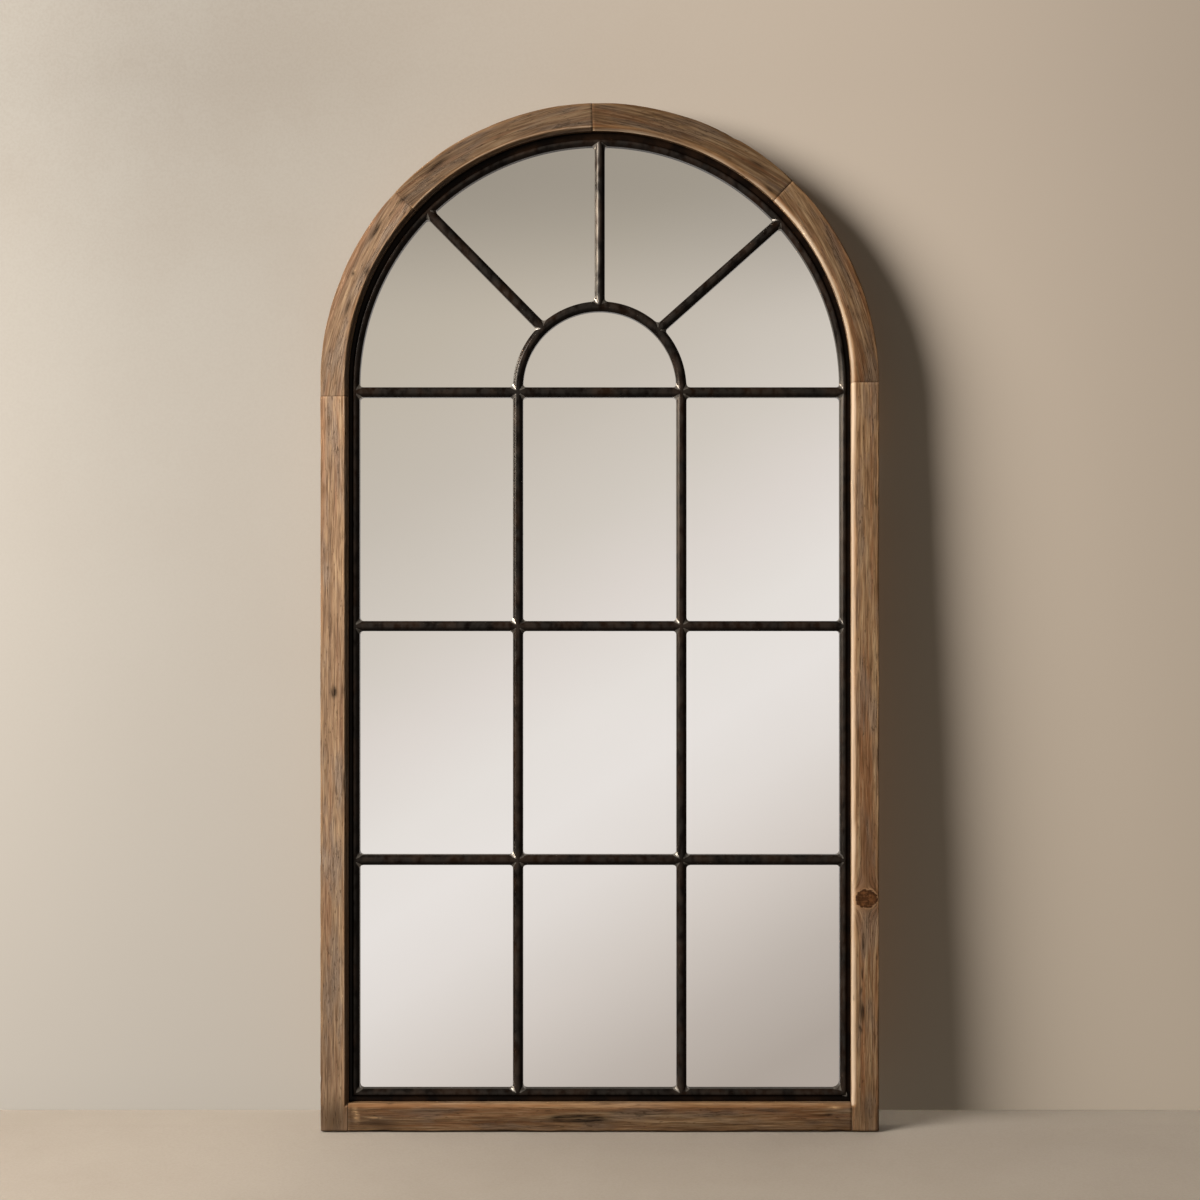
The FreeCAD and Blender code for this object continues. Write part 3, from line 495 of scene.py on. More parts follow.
@dataclass(frozen=True)
class SilveredGlass(Finish):
    """Float glass silvered on the back: a clean mirror with a breath of haze."""

    name: str = "silvered_float_glass"

    def paint(self, look: Look) -> None:
        """Almost no colour, and a trace of haze from wiping.

        Args:
            look: the material's nodes.
        """
        wipe = look.noise(look.add(COORDINATES, output="Object"), (240, 60, 140), 3, 0.5)
        look.shade({"Base Color": look.lay("#f0f0ef", (wipe, "#f5f4f4")), "Metallic": 1.0,
                    "Roughness": look.add(SPREAD, [wipe, 0.3, 0.8, 0.012, 0.045])})


@dataclass(frozen=True)
class Hardboard(Finish):
    """Pressed wood fibre, smooth side out: brown, with short pale and dark fibres."""

    name: str = "hardboard_smooth_side"

    def paint(self, look: Look) -> None:
        """Fibres lie every way, so the noise is nearly even.

        Args:
            look: the material's nodes.
        """
        add = look.add
        place = look.add(COORDINATES, output="Object")
        cloud = look.noise(place, (160, 160, 160), 3)
        fleck = look.noise(place, (5, 5, 2.2), 4, 0.7)
        fluff = look.noise(place, (1.6, 1.6, 4), 2, 0.6)
        board = look.lay("#80603f", (add(SPREAD, [cloud, 0.3, 0.7]), "#8b6846"),
                         (add(SPREAD, [fleck, 0.55, 0.72, 0.0, 0.55]), "#a07c56"),
                         (add(SPREAD, [fluff, 0.3, 0.42, 0.45, 0.0]), "#4b3422"))
        look.shade({"Base Color": board, "Roughness": add(SPREAD, [fleck, 0.3, 0.7, 0.5, 0.66])})
        look.relief(fluff, 0.12, 0.5)


@dataclass(frozen=True)
class TurnedBeech(Finish):
    """Beech dowel: pale, even, with fine dark flecks."""

    name: str = "turned_beech"

    def paint(self, look: Look) -> None:
        """Flecks about a millimetre long.

        Args:
            look: the material's nodes.
        """
        fleck = look.noise(look.add(COORDINATES, output="Object"), (1.2, 1.2, 1.2), 2)
        look.shade({"Base Color": look.lay("#c9a173", (look.add(SPREAD, [fleck, 0.5, 0.7]), "#a87c50")),
                    "Roughness": look.add(SPREAD, [fleck, 0.3, 0.7, 0.5, 0.62])})


@dataclass(frozen=True)
class MattRubber(Finish):
    """Moulded rubber: dark grey, matt, with a bloom of dust."""

    name: str = "moulded_matt_rubber"

    def paint(self, look: Look) -> None:
        """Dust gathers in patches of a few millimetres.

        Args:
            look: the material's nodes.
        """
        place = look.add(COORDINATES, output="Object")
        bloom = look.noise(place, (4, 4, 4), 3)
        look.shade({"Base Color": look.lay("#262422", (look.add(SPREAD, [bloom, 0.35, 0.7]), "#3b3835")),
                    "Roughness": look.add(SPREAD, [bloom, 0.3, 0.7, 0.7, 0.9])})
        look.relief(look.noise(place, (0.7, 0.7, 0.7), 2), 0.05, 0.5)


@dataclass(frozen=True)
class ZincPlate(Finish):
    """Zinc-plated steel: cool bright metal, brushed by the rolling mill, a little dulled."""

    name: str = "zinc_plated_steel"

    def paint(self, look: Look) -> None:
        """Rolling lines run upright, dull clouds are about a centimetre.

        Args:
            look: the material's nodes.
        """
        place = look.add(COORDINATES, output="Object")
        cloud = look.noise(place, (9, 9, 9), 3)
        line = look.noise(place, (0.6, 0.6, 14), 2)
        look.shade({"Base Color": look.lay("#a9aaa8", (look.add(SPREAD, [cloud, 0.3, 0.7]), "#c9c9c4")),
                    "Roughness": look.add(SPREAD, [line, 0.25, 0.75, 0.26, 0.44]), "Metallic": 1.0})
        look.relief(line, 0.03, 0.6)


@dataclass(frozen=True)
class StageSurface(Finish):
    """Plain pale floor."""

    colour: str

    def paint(self, look: Look) -> None:
        """One matt colour."""
        look.shade({"Base Color": self.mottled(look), "Roughness": 0.9})

    def mottled(self, look: Look) -> bpy.types.NodeSocket:
        """Darken the colour a little, in clouds and in a fine grain.

        Args:
            look: the material's nodes.

        Returns:
            The mottled colour.
        """
        place = look.add(COORDINATES, output="Object")
        cloud = look.noise(place, (300, 300, 300), 4, 0.6)
        grain = look.noise(place, (3, 3, 3), 2)
        return look.lay(self.colour, (look.add(SPREAD, [cloud, 0.35, 0.7, 0.0, 0.22]), "#84786b"),
                        (look.add(SPREAD, [grain, 0.35, 0.7, 0.0, 0.1]), "#6f6458"))


@dataclass(frozen=True)
class StageWall(StageSurface):
    """Plain pale wall that is see-through from behind.

    Its own tone evens out the lamp's fall-off: it is paler away from the lamp and towards the
    floor. It has no gloss, which would sparkle with the window.
    """

    right: str = "#d8c9b8"
    low_left: str = "#cbc4ba"
    low_right: str = "#f1e1cd"
    near_lamp: str = "#bcbcbc"
    sides: tuple[float, float] = (-0.6, 0.6)
    heights: tuple[float, float] = (1.25, 0.05)
    lamp_side: tuple[float, float] = (-1.4, -0.8)

    def paint(self, look: Look) -> None:
        """Blend four tones over the wall.

        Args:
            look: the material's nodes.
        """
        add = look.add
        x, _, z = add("ShaderNodeSeparateXYZ", [look.add(COORDINATES, output="Object")]).node.outputs
        share = add(SPREAD, [x, *self.sides])
        high = look.lay(self.mottled(look), (share, self.right))
        low = look.lay(self.low_left, (share, self.low_right))
        tone = look.lay(high, (add(SPREAD, [z, *self.heights], interpolation_type="LINEAR"), low))
        near = look.lay(self.near_lamp, (add(SPREAD, [x, *self.lamp_side]), "#ffffff"))
        look.shade({"Base Color": add(MIX, [1.0, tone, near], blend_type="MULTIPLY"), "Roughness": 0.9,
                    "Specular IOR Level": 0.0})
        behind = add("ShaderNodeNewGeometry", output="Backfacing")
        both = add("ShaderNodeMixShader", [behind, look.shader.outputs[0], add("ShaderNodeBsdfTransparent")])
        look.fill(look.tree.nodes["Material Output"].inputs["Surface"], both)


# Wooden frame


class Blemish(Enum):
    """What a mark in the wood is."""

    STAIN = "stain_and_painted_shade"
    KNOT = "knot"
    PALE = "pale"
    GREY = "grey"


@dataclass(frozen=True)
class Mark:
    """One mark on the face: its middle, half its length and width, its turn, strength and dent."""

    kind: Blemish
    x: float
    z: float
    long: float
    wide: float
    turn: float = 0.0
    strength: float = 1.0
    dent: float = 0.0

    def across(self, x: np.ndarray, z: np.ndarray) -> np.ndarray:
        """Measure how far places are from the middle of the mark.

        Args:
            x: places, to the right.
            z: places, upwards.

        Returns:
            The distance, where 1 is the rim of the mark.
        """
        along, side = turned(x - self.x, z - self.z, math.radians(self.turn))
        return np.sqrt((along / self.long) ** 2 + (side / self.wide) ** 2)


# Where the photo has its largest marks, as the fields of a Mark after its kind
KNOTS = ((314.4, 274.4, 10.5, 13.2),)
STAINS = (
    # Right stile
    (311, 221, 10, 1.5, 0, 1.3, 0.3), (310, 186, 9, 1.2, 0, 1.4, 0.4), (308.5, 165, 6, 1.5, -8, 1.4, 0.4),
    (310, 141, 14, 2.9, 4, 1.5, 0.7), (308, 121, 5, 1.8, 20, 1.3, 0.4), (327.5, 205, 3, 1.6, 0, 0.9, 0.8),
    (300, 157, 3, 1.1, 0, 0.7, 0.4), (320, 668, 8, 2.2, 0, 0.6, 0.2), (316, 300, 34, 1.2, 2, 0.35, 0.1),
    # Left stile
    (-313.5, 518, 7, 3.8, 0, 1.9, 0.6), (-319.5, 214, 5, 1.8, 0, 0.5, 0.2), (-329, 62, 5, 2.2, 0, 0.9, 1.0),
    (-306, 722, 12, 1.3, -6, 0.55, 0.3),
    # Rail
    (-26, 15, 4.8, 34, 0, 2.6, 0.35), (-11, 13, 3.2, 15, 0, 2.4, 0.5), (-27, 26, 1.6, 12, 0, 0.4, 0.0),
    (262, 18, 1.4, 12, 2, 0.7, 0.5), (270, 19, 1.8, 5, 0, 1.4, 0.6), (-258, 8, 8, 26, -14, 0.45, 0.0),
    (-248, 33, 3, 4, 0, 0.5, 0.5), (-190, 24, 2.2, 46, 1, 0.5, 0.1), (-120, 9, 3.0, 60, 0, 0.5, 0.1),
    (40, 21, 2.0, 70, -1, 0.45, 0.1), (120, 7, 2.6, 50, 0, 0.5, 0.1), (205, 25, 1.8, 44, 1, 0.45, 0.1),
    # Arch
    (-193, 1139, 19, 4, -52, 1.1, 0.3), (-233, 1099, 8, 3, -48, 1.0, 0.4),
    (-264, 1063, 15, 3, -30, 1.15, 0.4), (-274, 1015, 8, 2.6, -22, 1.1, 0.3),
    (-291, 1012, 3, 2.2, 0, 0.9, 0.3), (-297, 973, 12, 2.4, -18, 1.0, 0.3),
    (186, 1141, 12, 2.6, 58, 0.85, 0.3), (201, 1111, 9, 2.4, 50, 0.85, 0.3),
    (60, 1199, 1.6, 22, 4, 0.45, 0.2), (268, 1046, 14, 2.0, 28, 0.45, 0.2),
)
PALES = ((-288, 20, 9, 3.2, 12, 0.9, 0.2), (-264, 16, 0.9, 14, -3, 0.8, 0.3), (277, 28, 1.6, 7, 0, 0.8, 0.1))
GREYS = ((-314, 14, 34, 30, 0, 1.0), (-316, 150, 170, 20, 0, 0.22), (314, 24, 34, 16, 0, 0.55),
         (-262, 12, 12, 36, 0, 0.5), (315, 330, 60, 14, 0, 0.3))
MARKS = [Mark(kind, *row) for kind, rows in zip(Blemish, (STAINS, KNOTS, PALES, GREYS)) for row in rows]


def turned(x: np.ndarray, z: np.ndarray, turn: float) -> tuple[np.ndarray, np.ndarray]:
    """Read places by a line that is turned from upright.

    Args:
        x: places, to the right.
        z: places, upwards.
        turn: the turn in radians.

    Returns:
        How far each place is along the line, and how far beside it.
    """
    return -x * math.sin(turn) + z * math.cos(turn), x * math.cos(turn) + z * math.sin(turn)


@dataclass(frozen=True)
class Station:
    """One cross-section of a piece of wood along its path.

    The section stands on a point of the X Z plane and reaches outwards from it. Height is where
    a stile is cut for the rebates and the mitre, and inset is how far the section shrinks.
    """

    x: float
    z: float
    out_x: float
    out_z: float
    height: float = 1000.0
    inset: float = 0.0


@dataclass(frozen=True)
class Board:
    """How one piece of wood differs from its neighbours.

    A bevel above nought is how much more the chamfer is rubbed than the arris beside it; above one, on the
    right-hand boards whose chamfers face the lamp, the extra pale rub is in part painted light. One below
    nought is how much painted shade, dark like old wax, it holds instead, on the left-hand boards whose
    chamfers face away from the lamp.
    """

    node: str
    tone: float
    weather: float
    rub: float
    bevel: float


@dataclass(frozen=True)
class Ripple:
    """One layer of relief: its cell along, across and into the wood, its own seed and its depth."""

    cells: tuple[float, float, float]
    seed: int
    depth: float = 1.0

    def at(self, fibre: np.ndarray, seed: int) -> np.ndarray:
        """Height of the layer at places in the grain of a board."""
        return self.depth * lattice_noise(fibre / np.array(self.cells), seed + self.seed)


@dataclass
class WoodFrame:
    """Seven pieces of weathered wood: two stiles, a rail and four sawn pieces of an arch.

    The section has ten corners. They start at the outer front edge and go by the chamfer at the
    opening, the glass rebate and the board rebate to the outer back edge. Rounds, spans, rough,
    edges and bare give for each how far it is rounded, how many pieces the flat after it has,
    what share of the relief that flat takes, how easily the corner chips and how far it is rubbed.
    """

    half_width: float = 330.0
    face_width: float = 32.5
    chamfer: float = 4.0
    face: float = -19.0
    back: float = 14.0
    lip_back: float = -6.5
    glass_back: float = 4.5
    glass_rebate: float = 5.5
    board_step: float = 8.0
    rail_height: float = 32.5
    springing: float = 884.0
    left_tail: float = 16.5
    joint_angles: tuple[float, float, float] = (46.2, 91.6, 137.1)
    step: float = 3.0
    rebate_steps: tuple[float, float] = (21.5, 24.0)
    mitre_steps: int = 7
    just_above: float = 0.01
    joint_bevel: float = 0.45
    foot_bevel: float = 0.9
    rounds: tuple[float, ...] = (2.2, 0.9, 0.8, 0.8, 0.3, 0.0, 0.0, 0.0, 0.5, 1.5)
    spans: tuple[int, ...] = (27, 6, 4, 6, 3, 2, 2, 3, 12, 26)
    rough: tuple[float, ...] = (1, 1, 1, 0.6, 0, 0, 0, 0, 0.7, 1)
    edges: tuple[float, ...] = (1, 0.8, 0.6, 0.6, 0, 0, 0, 0, 0.2, 0.6)
    bare: tuple[float, ...] = (0.25, 0.5, 1, 1, 0, 0, 0, 0, 0.1, 0.3)
    chamfers: tuple[int, int] = (1, 2)
    chip_reach: float = 2.2
    rub_reach: float = 1.1
    bend: float = 0.6
    edge_wave: Ripple = Ripple((26, 1, 1), 0, 0.55)
    ripples: tuple[Ripple, ...] = (
        Ripple((60, 1.9, 1.9), 11, 0.16), Ripple((150, 6.5, 6.5), 23, 0.12), Ripple((110, 60, 60), 37, 0.18))
    planed: float = 0.12
    chips: Ripple = Ripple((14, 7, 7), 51)
    chip_start: float = 0.42
    chip_depth: float = 2.4
    edge_loss: float = 0.12
    rub_wave: Ripple = Ripple((34, 9, 9), 5, 0.3)
    rub_level: float = 0.9
    arris_reach: float = 2.5
    arris_wax: float = 0.85
    front_end: float = -8.0
    front_fade: float = 6.0
    far_from_knot: float = 3.0
    swerve: float = 1.6
    most_swerve: float = 0.9
    finish: WeatheredWood = field(default_factory=WeatheredWood)
    boards: tuple[Board, ...] = (
        Board("left_stile", 1.14, 0.4, 0.85, -0.65),
        Board("right_stile", 0.92, 0.02, 1.0, 1.2),
        Board("bottom_rail", 0.64, 0.0, 0.34, 1.0),
        Board("arch_left_lower", 0.92, 0.42, 0.6, -0.7),
        Board("arch_left_upper", 0.51, 0.28, 0.95, -0.25),
        Board("arch_right_upper", 0.4, 0.0, 0.42, 1.25),
        Board("arch_right_lower", 0.59, 0.0, 0.6, 1.45),
    )

    @property
    def opening(self) -> float:
        """Half the width of the opening in the wood."""
        return self.half_width - self.face_width

    @property
    def middle(self) -> float:
        """Distance from the middle of the mirror to the middle of the wood."""
        return self.half_width - self.face_width / 2

    @property
    def glass_floor(self) -> float:
        """Height of the foot of the glass rebate."""
        return self.rail_height - self.glass_rebate

    @property
    def board_floor(self) -> float:
        """Height of the foot of the board rebate."""
        return self.glass_floor - self.board_step

    def upright(self, side: float, top: float) -> list[Station]:
        """Lay out a stile from the floor to its joint with the arch.

        Args:
            side: 1 for the right stile and -1 for the left one.
            top: height of the joint.

        Returns:
            Its stations.
        """
        glass_floor, board_floor = self.glass_floor, self.board_floor
        foot = np.arange(self.step, board_floor - 1, self.step)
        mitre = np.linspace(self.rail_height - self.chamfer, self.rail_height, self.mitre_steps)
        low = [(z, z, 0.0) for z in (self.foot_bevel, *foot, board_floor)]
        low += [(board_floor, board_floor + self.just_above, 0.0)]
        low += [(z, z, 0.0) for z in (*self.rebate_steps, glass_floor)]
        low += [(glass_floor, glass_floor + self.just_above, 0.0)]
        low += [(z, z, 0.0) for z in mitre]
        start, end = self.rail_height + self.step, top - self.joint_bevel
        high = [(z, Station.height, 0.0) for z in np.linspace(start, end, round((end - start) / self.step))]
        steps = [(0.0, 0.0, self.foot_bevel), *low, *high, (top, Station.height, self.joint_bevel)]
        return [Station(0.0, z, side, 0.0, height, inset) for z, height, inset in steps]

    def level(self) -> list[Station]:
        """Lay out the rail.

        Returns:
            Its stations, from left to right.
        """
        inner = self.opening - self.joint_bevel
        runs = [(x, 0.0) for x in np.linspace(-inner, inner, round(2 * inner / self.step))]
        runs = [(-self.opening, self.joint_bevel), *runs, (self.opening, self.joint_bevel)]
        return [Station(x, self.half_width, 0.0, -1.0, inset=inset) for x, inset in runs]

    def curve(self, start: float, end: float, tail: float = 0.0) -> list[Station]:
        """Lay out an arch piece between two angles.

        Args:
            start: its first angle, in degrees from the right.
            end: its last angle.
            tail: length of the straight end under its last angle.

        Returns:
            Its stations.
        """
        bevel = math.degrees(self.joint_bevel / self.half_width)
        inner_end = end if tail else end - bevel
        length = math.radians(end - start) * self.half_width
        angles = [(start, self.joint_bevel)]
        angles += [(a, 0.0) for a in np.linspace(start + bevel, inner_end, round(length / self.step))]
        if not tail:
            angles.append((end, self.joint_bevel))
        stations = [
            Station(0.0, self.springing, math.cos(math.radians(a)), math.sin(math.radians(a)), inset=inset)
            for a, inset in angles]
        if tail:
            last = tail - self.joint_bevel
            drops = [(drop, 0.0) for drop in (*np.arange(self.step, last - 1, self.step), last)]
            stations += [Station(0.0, self.springing - drop, -1.0, 0.0, inset=inset)
                         for drop, inset in (*drops, (tail, self.joint_bevel))]
        return stations

    def corners(self, stations: list[Station], wear: np.ndarray) -> tuple[np.ndarray, np.ndarray]:
        """Find the corners of each section, and the round of each.

        Args:
            stations: the sections along the piece.
            wear: for each section, a factor on the round of its outer front edge.

        Returns:
            Corners as (section, corner, u and y), and rounds as (section, corner).
        """
        height = np.array([station.height for station in stations])
        inner, outer = self.opening, self.half_width
        glass = np.where(height > self.glass_floor, inner + self.glass_rebate, inner)
        board = np.where(height > self.board_floor, inner + self.glass_rebate + self.board_step, inner)
        cut = np.clip(height - (self.rail_height - self.chamfer), 0, self.chamfer)
        bevel, foot = inner + self.chamfer, self.face + cut
        same = np.ones_like(height)
        outwards = (outer, bevel, bevel - cut, inner, inner, glass, glass, board, board, outer)
        deep = np.repeat(np.stack([self.face * same, foot, self.lip_back * same, self.glass_back * same,
                                   self.back * same], axis=1), 2, axis=1)
        points = np.stack([np.stack([same * value for value in outwards], axis=1), deep], axis=-1)
        rounds = np.outer(same, self.rounds)
        rounds[:, 0] *= wear
        return points, rounds

    def sections(self, stations: list[Station], wear: np.ndarray) -> tuple[np.ndarray, ...]:
        """Find the points round each section.

        Args:
            stations: the sections along the piece.
            wear: for each section, a factor on the round of its outer front edge.

        Returns:
            Points as (section, point, u and y), how much of the relief each point takes, how near
            each point is to an edge that chips, and how far it is rubbed.
        """
        corners, rounds = self.corners(stations, wear)
        profile, spots = soften(corners, rounds, self.spans)
        lengths = np.linalg.norm(np.roll(corners, -1, axis=1) - corners, axis=2)
        take, near, rubbed = [], [], []
        for number, share in spots:
            following = (number + 1) % len(self.spans)
            gap = np.median(min(share, 1 - share) * lengths[:, number])
            side = number if share < 0.5 else following
            take.append(self.rough[number] if share else min(self.rough[number], self.rough[number - 1]))
            near.append(self.edges[side] * math.exp(-(gap / self.chip_reach) ** 2))
            if number in self.chamfers:
                rubbed.append(self.bare[number] * (1 - share) + self.bare[following] * share)
            else:
                rubbed.append(self.bare[side] * math.exp(-(gap / self.rub_reach) ** 2))
        return profile, np.array(take), np.array(near), np.array(rubbed)

    def fibres(self, board: Board, space: np.ndarray, grain: tuple[float, float, float]) -> np.ndarray:
        """Find where each point lies in the grain of its board.

        Args:
            board: the board.
            space: the points.
            grain: a point of the piece and the turn of its fibres from upright, in degrees.

        Returns:
            For each point, the place along the fibres, across them and into the wood.
        """
        turn = math.radians(grain[2])
        along, side = turned(space[..., 0] - grain[0], space[..., 2] - grain[1], turn)
        if turn and board.node.startswith("arch"):
            reach = np.hypot(space[..., 0], space[..., 2] - self.springing)
            angle = np.arctan2(space[..., 2] - self.springing, space[..., 0]) % (2 * math.pi) - turn
            along += (self.middle * angle - along) * self.bend
            side += (reach - self.middle - side) * self.bend
        return np.stack([along, side, space[..., 1]], axis=-1)

    def blemishes(self, space: np.ndarray, fibre: np.ndarray) -> tuple[dict[Blemish, np.ndarray], np.ndarray]:
        """Place the marks on a piece. They show on its front, and the fibres swerve round a knot.

        Args:
            space: the points.
            fibre: their places in the grain, which a knot changes.

        Returns:
            For each kind of mark its strength at each point, and the depth of the dents.
        """
        values = {kind: np.zeros(space.shape[:2]) for kind in Blemish}
        values[Blemish.KNOT] += self.far_from_knot
        dent = np.zeros(space.shape[:2])
        front = np.clip((self.front_end - space[..., 1]) / self.front_fade, 0, 1)
        for mark in MARKS:
            reach = mark.across(space[..., 0], space[..., 2])
            if mark.kind is Blemish.KNOT:
                inside = np.where(front > 0.5, reach, self.far_from_knot)
                values[mark.kind] = np.minimum(values[mark.kind], inside)
                swerve = self.swerve / (reach ** 2 + 0.5) * front
                fibre[..., 1] -= (space[..., 0] - mark.x) * np.clip(swerve, 0, self.most_swerve)
                continue
            soft = np.exp(-reach ** 2 * 1.4) * front
            values[mark.kind] = np.maximum(values[mark.kind], np.minimum(soft * mark.strength, 1))
            dent = np.maximum(dent, np.exp(-reach ** 2 * 2) * front * mark.dent)
        return values, dent

    def rubbing_and_painted_chamfer_shading(self, board: Board, profile: np.ndarray, height: np.ndarray,
                rubbed: np.ndarray) -> tuple[np.ndarray, np.ndarray]:
        """Find what handling and old wax do to the edges of a piece, and the painted light and shade of its
        chamfers.

        Args:
            board: the board.
            profile: the points of its sections.
            height: for each section, the height of its station.
            rubbed: for each point of a section, how far it is rubbed.

        Returns:
            For each point, how bare it is rubbed, with painted light on the chamfers that face the lamp, and
            how much dark wax and painted shade it holds.
        """
        # Below the mitre with the rail a stile has no chamfer, so it isn't rubbed there
        mitre = np.clip((height - self.rail_height + self.chamfer) / self.chamfer, 0, 1)
        bared = mitre[:, None] * rubbed
        # On boards with a bevel below nought the chamfers face away from the lamp and get painted shade, dark
        # like old wax, and the outer arris dark wax; a bevel above one rubs the chamfers that face the lamp
        # paler, in part painted light
        arris = self.arris_wax * np.exp(-((self.half_width - profile[..., 0]) / self.arris_reach) ** 2)
        behind = np.clip((profile[..., 1] - self.face) / 1.6, 0, 1) * (profile[..., 0] < self.half_width - 1)
        wax_and_painted_shade = max(-board.bevel, 0) * np.maximum(behind * np.minimum(bared * 2, 1), arris)
        return bared * (1 + (max(board.bevel, 0) - 1) * behind), wax_and_painted_shade

    def build(self, board: Board, stations: list[Station], grain: tuple[float, float, float],
              seed: int) -> bpy.types.Object:
        """Make one piece of wood.

        Args:
            board: its looks, and the CAD node that it stands for.
            stations: its cross-sections.
            grain: a point of the piece and the turn of its fibres from upright, in degrees.
            seed: fixed number for its own grain.

        Returns:
            The finished piece.
        """
        table = np.array([(s.x, s.z, s.out_x, s.out_z, s.inset, s.height) for s in stations])
        middles = table[:, :2] + table[:, 2:4] * self.half_width
        travel = np.concatenate([[0], np.cumsum(np.linalg.norm(np.diff(middles, axis=0), axis=1))])
        flat = np.zeros_like(travel)
        wear = 1 + self.edge_wave.at(np.stack([travel, flat, flat], axis=-1), seed)
        profile, take, near, rubbed = self.sections(stations, wear)
        tangent = np.roll(profile, -1, axis=1) - np.roll(profile, 1, axis=1)
        normal = np.stack([-tangent[..., 1], tangent[..., 0]], axis=-1)
        normal /= np.maximum(np.linalg.norm(normal, axis=-1, keepdims=True), 1e-9)

        def placed(section: np.ndarray) -> np.ndarray:
            """Put section points in space."""
            x, z = (table[:, None, axis] + table[:, None, axis + 2] * section[..., 0] for axis in (0, 1))
            return np.stack([x, section[..., 1], z], axis=-1)

        space = placed(profile)
        fibre = self.fibres(board, space, grain)
        values, dent = self.blemishes(space, fibre)
        sink = (sum(ripple.at(fibre, seed) for ripple in self.ripples) - self.planed) * take - dent
        chipped = np.maximum(self.chips.at(fibre, seed) - self.chip_start, 0) * self.chip_depth
        sink -= near * (chipped + self.edge_loss)
        space = placed(profile + normal * (sink - table[:, None, 4])[..., None])
        # Nothing goes under the floor
        space[..., 2] = np.maximum(space[..., 2], 0)
        rows, columns = space.shape[:2]
        piece = mesh_object(f"wood_{board.node}", space.reshape(-1, 3) * MM, tube_faces(rows, columns))
        bared, wax_and_painted_shade = self.rubbing_and_painted_chamfer_shading(board, profile, table[:, 5], rubbed)
        # The painted shade of the chamfers goes in with the stains
        values[Blemish.STAIN] = np.maximum(values[Blemish.STAIN], wax_and_painted_shade)
        uneven = self.rub_level + self.rub_wave.at(fibre, seed)
        # Each board has its own stretch of the grain's noise
        give_values(piece, "grain", fibre.reshape(-1, 3) * MM + np.array([seed * 1.7, seed * 0.31, 0.0]))
        # Worn is real rub, and on the chamfers that face the lamp also painted light
        give_values(piece, "worn", np.clip(bared * uneven * board.rub, 0, 1).ravel())
        give_values(piece, "tone", np.full(rows * columns, board.tone))
        give_values(piece, "weather", np.full(rows * columns, board.weather))
        for kind, amount in values.items():
            give_values(piece, kind.value, amount.ravel())
        face_outwards(piece)
        piece.data.materials.append(self.finish.material())
        piece.data.shade_smooth()
        return piece

    def make(self) -> None:
        """Build the seven pieces and seat them."""
        right, top, left = self.joint_angles
        crest, mid = self.springing, self.middle
        pieces = {
            "left_stile": (self.upright(-1.0, crest - self.left_tail), (-mid, 0.0, 0.0)),
            "right_stile": (self.upright(1.0, crest), (mid, 0.0, 0.0)),
            "bottom_rail": (self.level(), (0.0, 0.0, 90.0)),
        }
        for name, start, end, tail in (
                ("left_lower", left, 180.0, self.left_tail), ("left_upper", top, left, 0.0),
                ("right_upper", right, top, 0.0), ("right_lower", 0.0, right, 0.0)):
            # The fibres of a sawn arch piece run along its chord
            turn = (start + end) / 2
            chord = (mid * math.cos(math.radians(turn)), crest + mid * math.sin(math.radians(turn)), turn)
            pieces[f"arch_{name}"] = (self.curve(start, end, tail), chord)
        for seed, board in enumerate(self.boards, 1):
            stations, grain = pieces[board.node]
            seat(self.build(board, stations, grain, seed), "weathered_wood", board.node)
        dress(["frame_dowels"], TurnedBeech().material())


# Parts that geometry nodes make


SHARP_EDGE = math.radians(38)
# Shape of a pan head, as shares of its height and radius, and of a shank's point
HEAD_TOP = 0.74
HEAD_DOME = -0.3
DOMED_FROM = 0.9
RECESS_LIFT = 1.02
SHANK_POINT = 0.7
# Arms of the cross recess, as shares of the radius of the screw head
RECESS_ARMS = ((1.25, 0.24), (0.24, 1.25))


